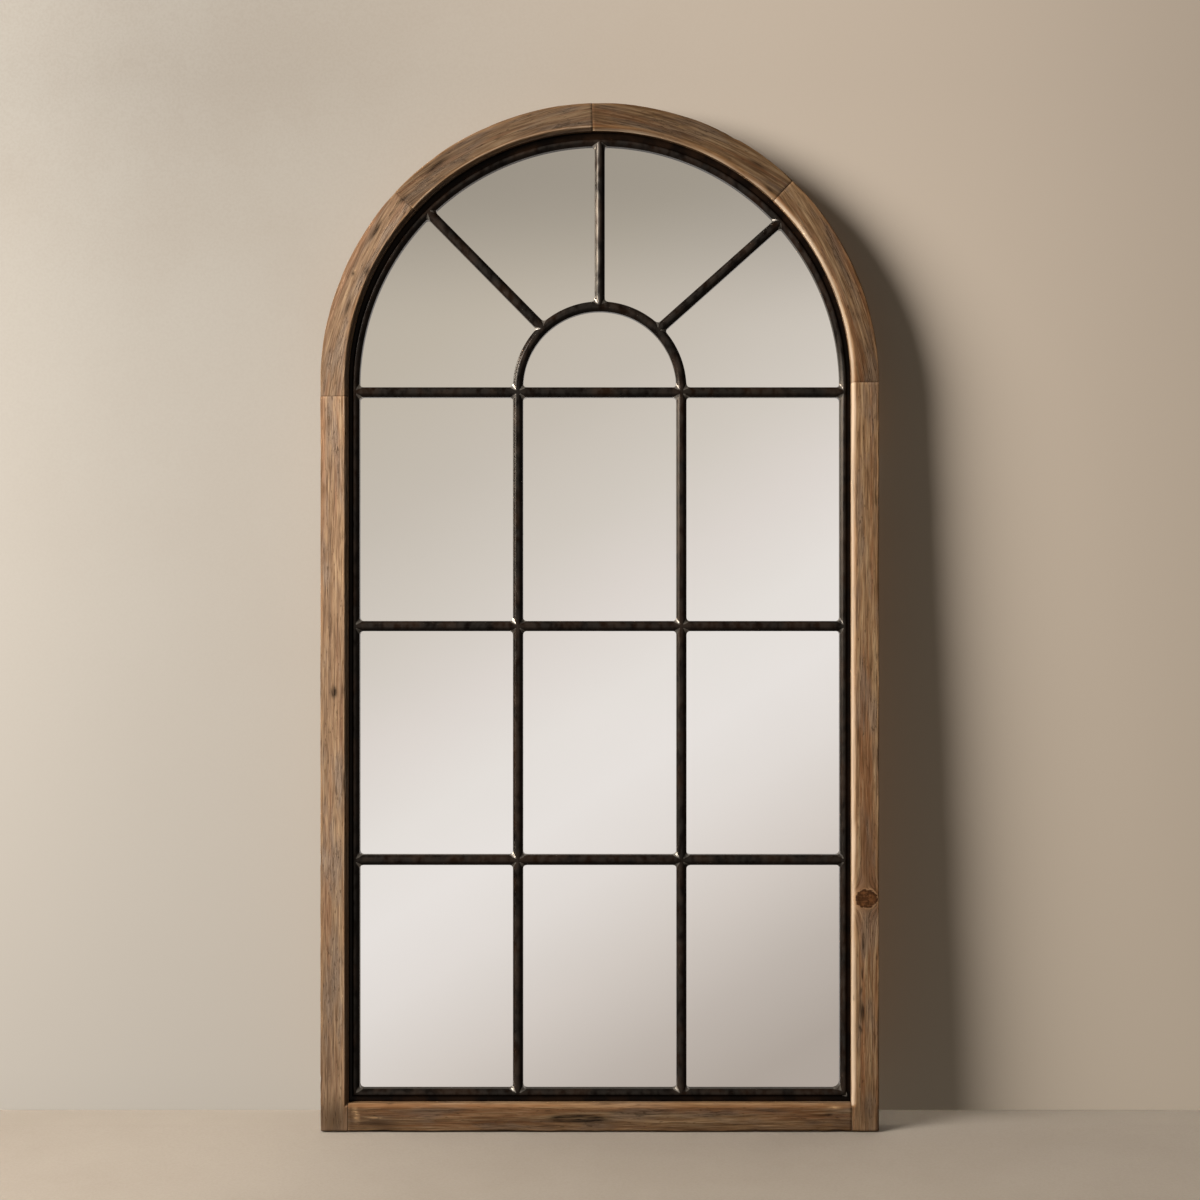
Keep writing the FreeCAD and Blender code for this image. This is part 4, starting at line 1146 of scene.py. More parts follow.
@dataclass(frozen=True)
class Workshop(Graph):
    """A Geometry Nodes tree with named inputs, and the running of it."""

    @classmethod
    def start(cls, name: str, inputs: dict[str, str]) -> tuple["Workshop", Sequence[bpy.types.NodeSocket]]:
        """Start a tree.

        Args:
            name: the tree's name.
            inputs: for each input, its kind of socket.

        Returns:
            The tree, and the sockets of its inputs.
        """
        tree = bpy.data.node_groups.new(name, "GeometryNodeTree")
        tree.interface.new_socket("Geometry", in_out="INPUT", socket_type="NodeSocketGeometry")
        for label, kind in inputs.items():
            tree.interface.new_socket(label, in_out="INPUT", socket_type=f"NodeSocket{kind}")
        tree.interface.new_socket("Geometry", in_out="OUTPUT", socket_type="NodeSocketGeometry")
        return cls(tree), tree.nodes.new("NodeGroupInput").outputs

    def run(self, host: bpy.types.Object, name: str, values: dict[str, object]) -> bpy.types.Object:
        """Run the tree on a host and keep the result as a plain mesh.

        Args:
            host: what the tree starts from. It is used up.
            name: the name of the piece.
            values: for each named input, its value.

        Returns:
            The piece.
        """
        modifier = host.modifiers.new("make", "NODES")
        modifier.node_group = self.tree
        for item in self.tree.interface.items_tree:
            if item.in_out == "INPUT" and item.name in values:
                modifier[item.identifier] = values[item.name]
        bpy.context.view_layer.update()
        graph = bpy.context.evaluated_depsgraph_get()
        mesh = bpy.data.meshes.new_from_object(
            host.evaluated_get(graph), preserve_all_data_layers=True, depsgraph=graph)
        mesh.name = name
        bpy.data.objects.remove(host)
        piece = bpy.data.objects.new(name, mesh)
        bpy.context.scene.collection.objects.link(piece)
        return piece

    def hammered(self, geometry: bpy.types.NodeSocket, cell: object, depth: object,
                 seed: object) -> bpy.types.NodeSocket:
        """Push a surface in and out along its normal by noise.

        Args:
            geometry: the surface.
            cell: length of a cell of the noise.
            depth: how far its full range pushes.
            seed: number that picks the noise.

        Returns:
            The surface with its dents.
        """
        add = self.add
        dents = add("ShaderNodeTexNoise", {"W": seed, "Scale": add(MATHS, [1.0, cell], **OVER), "Detail": 2.5,
                                           "Roughness": 0.5}, "Fac", noise_dimensions="4D")
        push = add(MATHS, [add(MATHS, [dents, 0.5], **MINUS), depth], **TIMES)
        offset = add(VECTORS, [add("GeometryNodeInputNormal"), push], operation="SCALE")
        return add("GeometryNodeSetPosition", {"Geometry": geometry, "Offset": offset})

    def finish(self, geometry: bpy.types.NodeSocket, material: bpy.types.NodeSocket) -> None:
        """End the tree in real geometry with its material, smooth but for its sharp edges.

        Args:
            geometry: the geometry.
            material: the material.
        """
        add = self.add
        real = add("GeometryNodeRealizeInstances", [geometry])
        smooth = add("GeometryNodeSetShadeSmooth", {"Geometry": real, "Shade Smooth": True})
        sharp = add(COMPARE, [add("GeometryNodeInputMeshEdgeAngle"), SHARP_EDGE], operation="GREATER_THAN")
        crisp = add("GeometryNodeSetShadeSmooth", {
            "Geometry": smooth, "Selection": sharp, "Shade Smooth": False}, domain="EDGE")
        add("NodeGroupOutput", [add("GeometryNodeSetMaterial", {"Geometry": crisp, "Material": material})])


def sweep_tree() -> Workshop:
    """Make the tree that sweeps a section along a flat path, cuts its ends, stands it up and hammers it.

    The path lies in the X Y plane. A section's own x is to the right of the way it travels and
    its y is the depth in the finished piece.

    Returns:
        The tree.
    """
    numbers = ("Step", "Front", "Flank", "Cope", "Mitre", "Hammer Size", "Hammer Depth", "Wear", "Left Wear",
               "Seed")
    shop, get = Workshop.start("bar_swept_along_path", {
        "Section": "Object", **dict.fromkeys(numbers, "Float"), "Material": "Material"})
    add = shop.add
    line = add("GeometryNodeMeshToCurve", [get["Geometry"]])
    level = add("GeometryNodeSetCurveNormal", [line], mode="Z_UP")
    even = add("GeometryNodeResampleCurve", {"Curve": level, "Length": get["Step"]}, mode="LENGTH")
    starts = add("GeometryNodeCurveEndpointSelection", {"Start Size": 1, "End Size": 0})
    ends = add("GeometryNodeCurveEndpointSelection", {"Start Size": 0, "End Size": 1})
    which = add(MATHS, [ends, starts], **MINUS)
    outward = add(VECTORS, [add("GeometryNodeInputTangent"), which], operation="SCALE")
    section = add("GeometryNodeObjectInfo", {"Object": get["Section"]}, "Geometry")
    outline = add("GeometryNodeMeshToCurve", [section])
    spot = add("GeometryNodeInputPosition")
    held = []
    for curve, label, value in ((even, "Outward", outward), (outline, "Place", spot)):
        node = add("GeometryNodeCaptureAttribute", domain="POINT").node
        node.capture_items.new("VECTOR", label)
        shop.fill(node.inputs[0], curve)
        shop.fill(node.inputs[1], value)
        held.append(node.outputs)
    path, profile = held
    swept = add("GeometryNodeCurveToMesh", {"Curve": path[0], "Profile Curve": profile[0], "Fill Caps": True})
    x, y, _ = add("ShaderNodeSeparateXYZ", [profile[1]]).node.outputs
    behind = add(MATHS, [get["Flank"], add(MATHS, [y, get["Front"]], **MINUS)], **MINUS)
    coped = add(MATHS, [add(MATHS, [behind, 0.0], operation="MAXIMUM"), get["Cope"]], **TIMES)
    longer = add(MATHS, [coped, add(MATHS, [x, get["Mitre"]], **TIMES)], **MINUS)
    cut = add("GeometryNodeSetPosition", {
        "Geometry": swept, "Offset": add(VECTORS, [path[1], longer], operation="SCALE")})
    stood = add("GeometryNodeTransform", {"Geometry": cut, "Rotation": (math.pi / 2, 0, 0)})
    beaten = shop.hammered(stood, get["Hammer Size"], get["Hammer Depth"], get["Seed"])
    edge = add("GeometryNodeInputNamedAttribute", {"Name": "edge"}, data_type="FLOAT")
    left = add(COMPARE, [x, 0.0], operation="LESS_THAN")
    wear = add(MATHS, [get["Wear"], add(MATHS, [left, get["Left Wear"]], **TIMES)])
    marked = add("GeometryNodeStoreNamedAttribute", {
        "Geometry": beaten, "Name": "worn", "Value": add(MATHS, [edge, wear], **TIMES)}, domain="POINT")
    shop.finish(marked, get["Material"])
    return shop


def copies_tree() -> Workshop:
    """Make the tree that puts a copy of a shape on each point, turned about the depth axis, and hammers it.

    Returns:
        The tree.
    """
    shop, get = Workshop.start("copies_on_points", {
        "Shape": "Object", "Hammer Size": "Float", "Hammer Depth": "Float", "Seed": "Float",
        "Material": "Material"})
    add = shop.add
    shape = add("GeometryNodeObjectInfo", {"Object": get["Shape"], "As Instance": True}, "Geometry")
    turn = add("GeometryNodeInputNamedAttribute", {"Name": "turn"}, data_type="FLOAT")
    size = add("GeometryNodeInputNamedAttribute", {"Name": "size"}, data_type="FLOAT_VECTOR")
    spin = add("ShaderNodeCombineXYZ", {"Y": add(MATHS, [turn, -1.0], **TIMES)})
    copies = add("GeometryNodeInstanceOnPoints", {
        "Points": get["Geometry"], "Instance": shape, "Rotation": spin, "Scale": size})
    real = add("GeometryNodeRealizeInstances", [copies])
    shop.finish(shop.hammered(real, get["Hammer Size"], get["Hammer Depth"], get["Seed"]), get["Material"])
    return shop


def screw_tree() -> Workshop:
    """Make the tree that puts a cross-recessed pan-head screw on each point, its head looking backwards.

    Returns:
        The tree.
    """
    shop, get = Workshop.start("pan_head_screws", {
        "Head Radius": "Float", "Head Height": "Float", "Shank Radius": "Float", "Shank Length": "Float",
        "Seed": "Int", "Material": "Material"})
    add = shop.add
    radius, height = get["Head Radius"], get["Head Height"]

    def times(whole: bpy.types.NodeSocket, share: object) -> bpy.types.NodeSocket:
        """Take a share of a length."""
        return add(MATHS, [whole, share], **TIMES)

    head = add("GeometryNodeMeshCone", {
        "Vertices": 28, "Side Segments": 3, "Fill Segments": 3, "Radius Bottom": radius,
        "Radius Top": times(radius, HEAD_TOP), "Depth": height})
    place = add("GeometryNodeInputPosition")
    reach = add(VECTORS, [add(VECTORS, [place, (1, 1, 0)], **TIMES)], operation="LENGTH")
    share = add(MATHS, [reach, radius], **OVER)
    drop = add("ShaderNodeCombineXYZ", {"Z": times(times(share, share), times(height, HEAD_DOME))})
    level = add("ShaderNodeSeparateXYZ", [place], "Z")
    top = add(COMPARE, [level, times(height, DOMED_FROM)], operation="GREATER_THAN")
    domed = add("GeometryNodeSetPosition", {"Geometry": head, "Selection": top, "Offset": drop})
    arms = []
    for long, wide in RECESS_ARMS:
        size = add("ShaderNodeCombineXYZ", [times(radius, long), times(radius, wide), height])
        lift = add("ShaderNodeCombineXYZ", {"Z": times(height, RECESS_LIFT)})
        arms.append(add("GeometryNodeTransform", {
            "Geometry": add("GeometryNodeMeshCube", {"Size": size}), "Translation": lift}))
    cross = add("GeometryNodeMeshBoolean", {1: arms}, operation="UNION")
    cut = add("GeometryNodeMeshBoolean", {0: domed, 1: cross}, operation="DIFFERENCE")
    shank = add("GeometryNodeMeshCone", {
        "Vertices": 16, "Fill Segments": 1, "Radius Bottom": get["Shank Radius"],
        "Radius Top": times(get["Shank Radius"], SHANK_POINT), "Depth": get["Shank Length"]})
    driven = add("GeometryNodeTransform", {"Geometry": shank, "Rotation": (math.pi, 0, 0)})
    laid = add("GeometryNodeTransform", {
        "Geometry": add("GeometryNodeJoinGeometry", {0: [driven, cut]}), "Rotation": (-math.pi / 2, 0, 0)})
    turn = add("FunctionNodeRandomValue", {3: math.pi / 2, "Seed": get["Seed"]}, data_type="FLOAT")
    shop.finish(add("GeometryNodeInstanceOnPoints", {
        "Points": get["Geometry"], "Instance": laid, "Rotation": add("ShaderNodeCombineXYZ", {"Y": turn})}),
        get["Material"])
    return shop


def flat_path(*runs: tuple) -> np.ndarray:
    """Draw a path through points and arcs.

    Args:
        *runs: points as (x, z), and arcs as (x, z, radius, from, to) in degrees.

    Returns:
        Its points, with z as their second number and nought as their third.
    """
    points = []
    for run in runs:
        if len(run) == 2:
            points.append((*run, 0.0))
            continue
        x, z, radius, start, end = run
        # One point for about every 2 mm, and eight at least
        for angle in np.radians(np.linspace(start, end, max(8, round(abs(end - start) * radius / 120)))):
            points.append((x + radius * math.cos(angle), z + radius * math.sin(angle), 0.0))
    return np.array(points)


# Iron grid


class EndCut(Enum):
    """How the two ends of a bar meet what they are welded to: by a cope or by a mitre."""

    COPED = (1.0, 0.0)
    MITRED = (0.0, 1.0)


@dataclass
class IronGrid:
    """Hand-worked bars: a hoop and sill, uprights with a fan ring, crossbars, spokes and their welds.

    Each ring of a weld gives its depth from the shoulders of the bars, how far it draws back
    from the corner, and its share of the leg.
    """

    front: float = -9.5
    shoulder: float = -5.5
    back: float = 0.5
    lip_back: float = -6.5
    bar_width: float = 12.0
    flank: float = 4.0
    land: float = 2.5
    heel: float = 1.5
    inside: float = 285.0
    outside: float = 302.7
    sill_top: float = 47.0
    sill_bottom: float = 27.0
    hoop_centre: float = 880.5
    muntin: float = 97.0
    crossbars: dict[str, float] = field(
        default_factory=lambda: {"lower": 318.5, "middle": 596.0, "upper": 873.5})
    ring_centre: float = 878.5
    spokes: dict[str, tuple[float, float]] = field(
        default_factory=lambda: {"left": (44.6, 1.8), "centre": (0.0, 0.0), "right": (-48.3, -5.3)})
    sink: float = 0.8
    section_step: float = 1.6
    bar_step: float = 2.6
    hammer_size: float = 13.0
    hammer_depth: float = 0.13
    edge_wear: float = 0.032
    centre_wear: float = 0.12
    crossbar_seed: int = 10
    spoke_seed: int = 70
    weld_leg: float = 4.0
    heavy_weld: float = 1.9
    weld_sink: float = 0.7
    weld_overlap: float = 0.3
    weld_rings: tuple[tuple[float, float, float], ...] = (
        (6.0, 0.0, 1.0), (2.0, 0.0, 1.0), (0.0, 0.0, 1.0), (-1.0, 1.0, 0.92), (-2.0, 2.0, 0.72),
        (-3.0, 3.0, 0.45), (-3.6, 3.6, 0.16))
    weld_hammer_size: float = 5.0
    weld_hammer_depth: float = 0.5
    weld_seed: float = 4.0
    weld_wear: float = 0.35
    finish: BronzedIron = field(default_factory=BronzedIron)

    def rounded(self, name: str, corners: list[tuple[float, float, float, float]]) -> bpy.types.Object:
        """Draw a section as a closed line.

        Args:
            name: its name.
            corners: x, y, round and edge wear of each corner.

        Returns:
            An object with the line, whose points know how near they are to a worn edge. Between
            two worn corners the whole flank counts in part.
        """
        table = np.array(corners, float)
        spots, rounds, wear = table[:, :2], table[:, 2], table[:, 3]
        lengths = np.linalg.norm(np.roll(spots, -1, axis=0) - spots, axis=1)
        cuts = np.minimum(rounds, lengths / 2) + np.minimum(np.roll(rounds, -1), lengths / 2)
        spans = [max(1, round(straight / self.section_step)) for straight in lengths - cuts]
        outlines, marks = soften(spots[None], rounds[None], spans)
        points = outlines[0]
        edge = np.array([min(wear[n], wear[(n + 1) % len(wear)]) if share else wear[n] for n, share in marks])
        apart = np.linalg.norm(points - np.roll(points, 1, axis=0), axis=1) > 1e-4
        section = line_object(name, np.pad(points[apart], ((0, 0), (0, 1))), closed=True)
        give_values(section, "edge", edge[apart])
        return section

    def bar_section(self) -> bpy.types.Object:
        """Draw a bar that is square at the glass, with sloping flanks and a soft narrow land in front.

        Returns:
            Its section.
        """
        half, land = self.bar_width / 2, self.bar_width / 2 - self.flank
        return self.rounded("bar_section", [
            (-half, self.back, 0.2, 0), (half, self.back, 0.2, 0), (half, self.shoulder, 1.2, 0.7),
            (land, self.front, 1.6, 1), (-land, self.front, 1.6, 1), (-half, self.shoulder, 1.2, 0.7)])

    def hoop_section(self, name: str, reach: float) -> bpy.types.Object:
        """Draw a bead beside the glass with a flange that runs under the wood.

        Args:
            name: the section's name.
            reach: how far the flange reaches from the edge of the bead.

        Returns:
            The section.
        """
        land_end = self.flank + self.land
        return self.rounded(name, [
            (0, self.back, 0.2, 0), (0, self.shoulder, 1.2, 0.7), (-self.flank, self.front, 1.6, 1),
            (-land_end, self.front, 1.4, 0.8), (-land_end - self.heel, self.lip_back, 1.0, 0),
            (-reach, self.lip_back, 0.2, 0), (-reach, self.back, 0.2, 0)])

    def bar(self, shop: Workshop, section: bpy.types.Object, name: str, path: np.ndarray, cut: EndCut,
            seed: int, left_wear: float = 0.0) -> bpy.types.Object:
        """Sweep one bar.

        Args:
            shop: the tree that sweeps.
            section: the bar's section.
            name: the name of the piece.
            path: its line.
            cut: how its ends are cut.
            seed: number that picks its hammer marks.
            left_wear: how much more its left edge is worn.

        Returns:
            The bar.
        """
        cope, mitre = cut.value
        return shop.run(line_object(name, path), name, {
            "Section": section, "Step": self.bar_step * MM, "Front": self.front * MM,
            "Flank": self.flank * MM, "Cope": cope, "Mitre": mitre, "Hammer Size": self.hammer_size * MM,
            "Hammer Depth": self.hammer_depth * MM, "Wear": self.edge_wear, "Left Wear": left_wear,
            "Seed": float(seed), "Material": self.finish.material()})

    def reach(self, turn: float, across: float) -> float:
        """Measure along a spoke, from the middle of the ring to the inside of the hoop.

        Args:
            turn: the lean of the spoke, in radians.
            across: how far beside the middle of the ring it runs.

        Returns:
            The distance.
        """
        rise = self.hoop_centre - self.ring_centre
        side = across - rise * math.sin(turn)
        return rise * math.cos(turn) + math.sqrt(self.inside ** 2 - side ** 2)

    def foot(self, across: float) -> float:
        """Distance from the middle of the ring to its outside, for a line that runs beside the middle."""
        return math.sqrt((self.muntin + self.bar_width / 2) ** 2 - across ** 2)

    def on_spoke(self, turn: float, across: float, along: float) -> tuple[float, float]:
        """Find a point on a spoke.

        Args:
            turn: the lean of the spoke, in radians.
            across: how far beside the middle of the ring the point is.
            along: how far along the spoke it is.

        Returns:
            Its x and z.
        """
        x = across * math.cos(turn) - along * math.sin(turn)
        return x, self.ring_centre + across * math.sin(turn) + along * math.cos(turn)

    def weld_shape(self) -> bpy.types.Object:
        """Model the fillet in the corner between the X and Z axes, which runs out up the flanks of both bars.

        Returns:
            The shape.
        """
        points = []
        for y, back, share in self.weld_rings:
            size, low = self.weld_leg * share, -back - self.weld_sink
            points += [(low, y, low), (size - back, y, low)]
            points += [(size - back - size * math.sin(angle), y, size - back - size * math.cos(angle))
                       for angle in np.linspace(0, math.pi / 2, 7)]
            points.append((low, y, size - back))
        rows = len(self.weld_rings)
        shape = mesh_object("weld_shape", np.array(points) * MM, tube_faces(rows, len(points) // rows))
        face_outwards(shape)
        return shape

    def weld_places(self) -> np.ndarray:
        """List the welds.

        Returns:
            For each its x and z, its turn in degrees and its size.
        """
        half, post = self.bar_width / 2, self.muntin
        # Each upright stands between its left and its right flank, and the panes lie between them
        panes = ((-self.inside, -post - half), (-post + half, post - half), (post + half, self.inside))
        places = []
        for left, right in panes:
            for height in self.crossbars.values():
                places += [(left, height + half, 0, 1), (right, height + half, 90, 1),
                           (right, height - half, 180, 1), (left, height - half, -90, 1)]
            size = self.heavy_weld if right == self.inside else 1
            places += [(left, self.sill_top, 0, 1), (right, self.sill_top, 90, size)]
        for lean, shift in self.spokes.values():
            turn = math.radians(lean)
            for side, foot_turn, head_turn in ((1, 0, -90), (-1, 90, 180)):
                across = shift + side * half
                for along, own in ((self.foot(across) - self.weld_overlap, foot_turn),
                                   (self.reach(turn, across) + self.weld_overlap, head_turn)):
                    places.append((*self.on_spoke(turn, across, along), lean + own, 1))
        return np.array(places, float)

    def welds(self) -> bpy.types.Object:
        """Weld every crossing and corner.

        Returns:
            All welds as one piece.
        """
        x, z, turn, size = self.weld_places().T
        host = mesh_object("welds", np.stack([x, np.full_like(x, self.shoulder), z], axis=-1) * MM, [])
        give_values(host, "turn", np.radians(turn))
        give_values(host, "size", np.stack([size, np.ones_like(size), size], axis=-1))
        shape = self.weld_shape()
        made = copies_tree().run(host, "iron_welds", {
            "Shape": shape, "Hammer Size": self.weld_hammer_size * MM,
            "Hammer Depth": self.weld_hammer_depth * MM, "Seed": self.weld_seed,
            "Material": self.finish.material()})
        give_values(made, "worn", np.full(len(made.data.vertices), self.weld_wear))
        bpy.data.objects.remove(shape)
        return made

    def make(self) -> None:
        """Build the bars and welds and seat them."""
        shop = sweep_tree()
        section = self.bar_section()
        hoop = self.hoop_section("hoop_section", self.outside - self.inside)
        sill = self.hoop_section("sill_section", self.sill_top - self.sill_bottom)
        half, post, start = self.bar_width / 2, self.muntin, self.sill_top - self.sink
        left_foot, right_foot = (-self.inside, self.sill_top), (self.inside, self.sill_top)
        round_top = flat_path(left_foot, (0, self.hoop_centre, self.inside, 180, 0), right_foot)
        with_ring = flat_path((-post, start), (0, self.ring_centre, post, 180, 0), (post, start))
        seat(self.bar(shop, hoop, "iron_hoop", round_top, EndCut.MITRED, 1), "bronzed_iron", "hoop_arch")
        seat(self.bar(shop, sill, "iron_sill", flat_path(right_foot, left_foot), EndCut.MITRED, 2),
             "bronzed_iron", "hoop_sill")
        seat(self.bar(shop, section, "iron_uprights_and_ring", with_ring, EndCut.COPED, 3),
             "bronzed_iron", "muntin_left", "muntin_right", "fan_ring")
        spans = {"left": (-self.inside, -post - half), "centre": (-post + half, post - half),
                 "right": (post + half, self.inside)}
        for row, height in self.crossbars.items():
            for span, (left, right) in spans.items():
                name = f"crossbar_{row}_{span}"
                path = flat_path((left - self.sink, height), (right + self.sink, height))
                seed = self.crossbar_seed + len(bpy.data.objects)
                seat(self.bar(shop, section, f"iron_{name}", path, EndCut.COPED, seed), "bronzed_iron", name)
        for name, (lean, shift) in self.spokes.items():
            turn = math.radians(lean)
            ends = (self.foot(shift) - self.sink, self.reach(turn, shift) + self.sink)
            path = flat_path(*(self.on_spoke(turn, shift, along) for along in ends))
            wear = self.centre_wear if name == "centre" else 0.0
            seed = self.spoke_seed + len(bpy.data.objects)
            seat(self.bar(shop, section, f"iron_spoke_{name}", path, EndCut.COPED, seed, wear),
                 "bronzed_iron", f"spoke_{name}")
        seat(self.welds(), "bronzed_iron", "weld_fillets")
        for used in (section, hoop, sill):
            bpy.data.objects.remove(used)


# Glass, board and the hardware behind


@dataclass
class BackHardware:
    """Screws, rings, and the CAD pieces that only get a finish.

    A screw's size is the radius and height of its head and the radius and length of its shank.
    """

    springing: float = 884.0
    board_edge: float = 307.0
    board_back: float = 7.5
    wood_back: float = 14.0
    back_land: float = 320.5
    arch_screws: int = 8
    stile_screws: int = 3
    rail_screws: int = 3
    opening: float = 297.5
    rail_screw_height: float = 23.0
    bracket_holes: tuple[tuple[float, float], ...] = ((320.5, 9.5), (272.5, 9.5), (320.5, 57.5))
    bracket_thickness: float = 2.0
    hinge_height: float = 800.0
    hinge_depth: float = 16.6
    strap_thickness: float = 1.0
    strap_holes: tuple[float, float] = (24.0, 37.0)
    board_screw: tuple[float, float, float, float] = (3.0, 1.8, 1.45, 11.0)
    wood_screw: tuple[float, float, float, float] = (3.4, 2.0, 1.7, 15.0)
    screw_seed: int = 7
    wire: float = 1.25
    wire_sides: int = 18
    wire_step: float = 0.7
    ring_half: float = 8.0
    ring_corner: float = 2.0
    ring_side: float = 6.0
    zinc: ZincPlate = field(default_factory=ZincPlate)

    def board_places(self) -> list[tuple[float, float, float]]:
        """List the screws round the board.

        Returns:
            Their places, on its back.
        """
        edge, back = self.board_edge, self.board_back
        angles = [(number + 0.5) * math.pi / self.arch_screws for number in range(self.arch_screws)]
        places = [(edge * math.cos(angle), back, self.springing + edge * math.sin(angle)) for angle in angles]
        for number in range(self.stile_screws):
            height = (number + 0.5) * self.springing / self.stile_screws
            places += [(side * edge, back, height) for side in (1, -1)]
        for number in range(self.rail_screws):
            across = ((2 * number + 1) / self.rail_screws - 1) * self.opening
            places.append((across, back, self.rail_screw_height))
        return places

    def hardware_places(self) -> list[tuple[float, float, float]]:
        """List the screws of the brackets and the hanger straps.

        Returns:
            Their places, on the backs of the brackets and straps.
        """
        on_bracket, on_strap = self.wood_back + self.bracket_thickness, self.wood_back + self.strap_thickness
        places = [(side * x, on_bracket, z) for side in (1, -1) for x, z in self.bracket_holes]
        return places + [(side * self.back_land, on_strap, self.hinge_height - drop)
                         for side in (1, -1) for drop in self.strap_holes]

    def ring(self, shop: Workshop, side: float, name: str) -> bpy.types.Object:
        """Bend a D-shaped ring of round wire, which hangs from its straight bar.

        Args:
            shop: the tree that sweeps.
            side: 1 for the right ring and -1 for the left one.
            name: the name of the piece.

        Returns:
            The ring.
        """
        x, z, corner, half = side * self.back_land, self.hinge_height, self.ring_corner, self.ring_half
        inner, bend = half - corner, z - corner
        path = flat_path((x, z), (x + inner, bend, corner, 90, 0), (x, bend - self.ring_side, half, 0, -180),
                         (x - inner, bend, corner, 180, 90))
        turns = np.linspace(0, 2 * math.pi, self.wire_sides, endpoint=False)
        wire = self.wire * np.stack([np.cos(turns), np.sin(turns), 0 * turns], axis=-1)
        wire[:, 1] += self.hinge_depth
        host, section = line_object(name, path, closed=True), line_object(f"{name}_wire", wire, closed=True)
        piece = shop.run(host, name, {
            "Section": section, "Step": self.wire_step * MM, "Hammer Size": 1.0, "Hammer Depth": 0.0,
            "Seed": 0.0, "Material": self.zinc.material()})
        bpy.data.objects.remove(section)
        return piece

    def make(self) -> None:
        """Build the screws and rings, and dress the other pieces."""
        shop = screw_tree()
        for name, node, places, screw in (
                ("board_screws", "backing_screws", self.board_places(), self.board_screw),
                ("bracket_and_hanger_screws", "hardware_screws", self.hardware_places(), self.wood_screw)):
            head, height, shank, length = (size * MM for size in screw)
            seat(shop.run(mesh_object(name, np.array(places) * MM, []), name, {
                "Head Radius": head, "Head Height": height, "Shank Radius": shank, "Shank Length": length,
                "Seed": self.screw_seed, "Material": self.zinc.material()}), "zinc_plate", node)
        sweep = sweep_tree()
        for side, name in ((-1.0, "left"), (1.0, "right")):
            seat(self.ring(sweep, side, f"wire_ring_{name}"), "zinc_plate", f"hanger_ring_{name}",
                 body=f"{name}_ring")
        dress(["corner_bracket_left", "corner_bracket_right", "hanger_strap_left", "hanger_strap_right"],
              self.zinc.material())
        dress(["backing_board"], Hardboard().material())
        dress(["mirror_glass"], SilveredGlass().material())
        dress(["setting_blocks", "wall_bumpers"], MattRubber().material())


# Studio


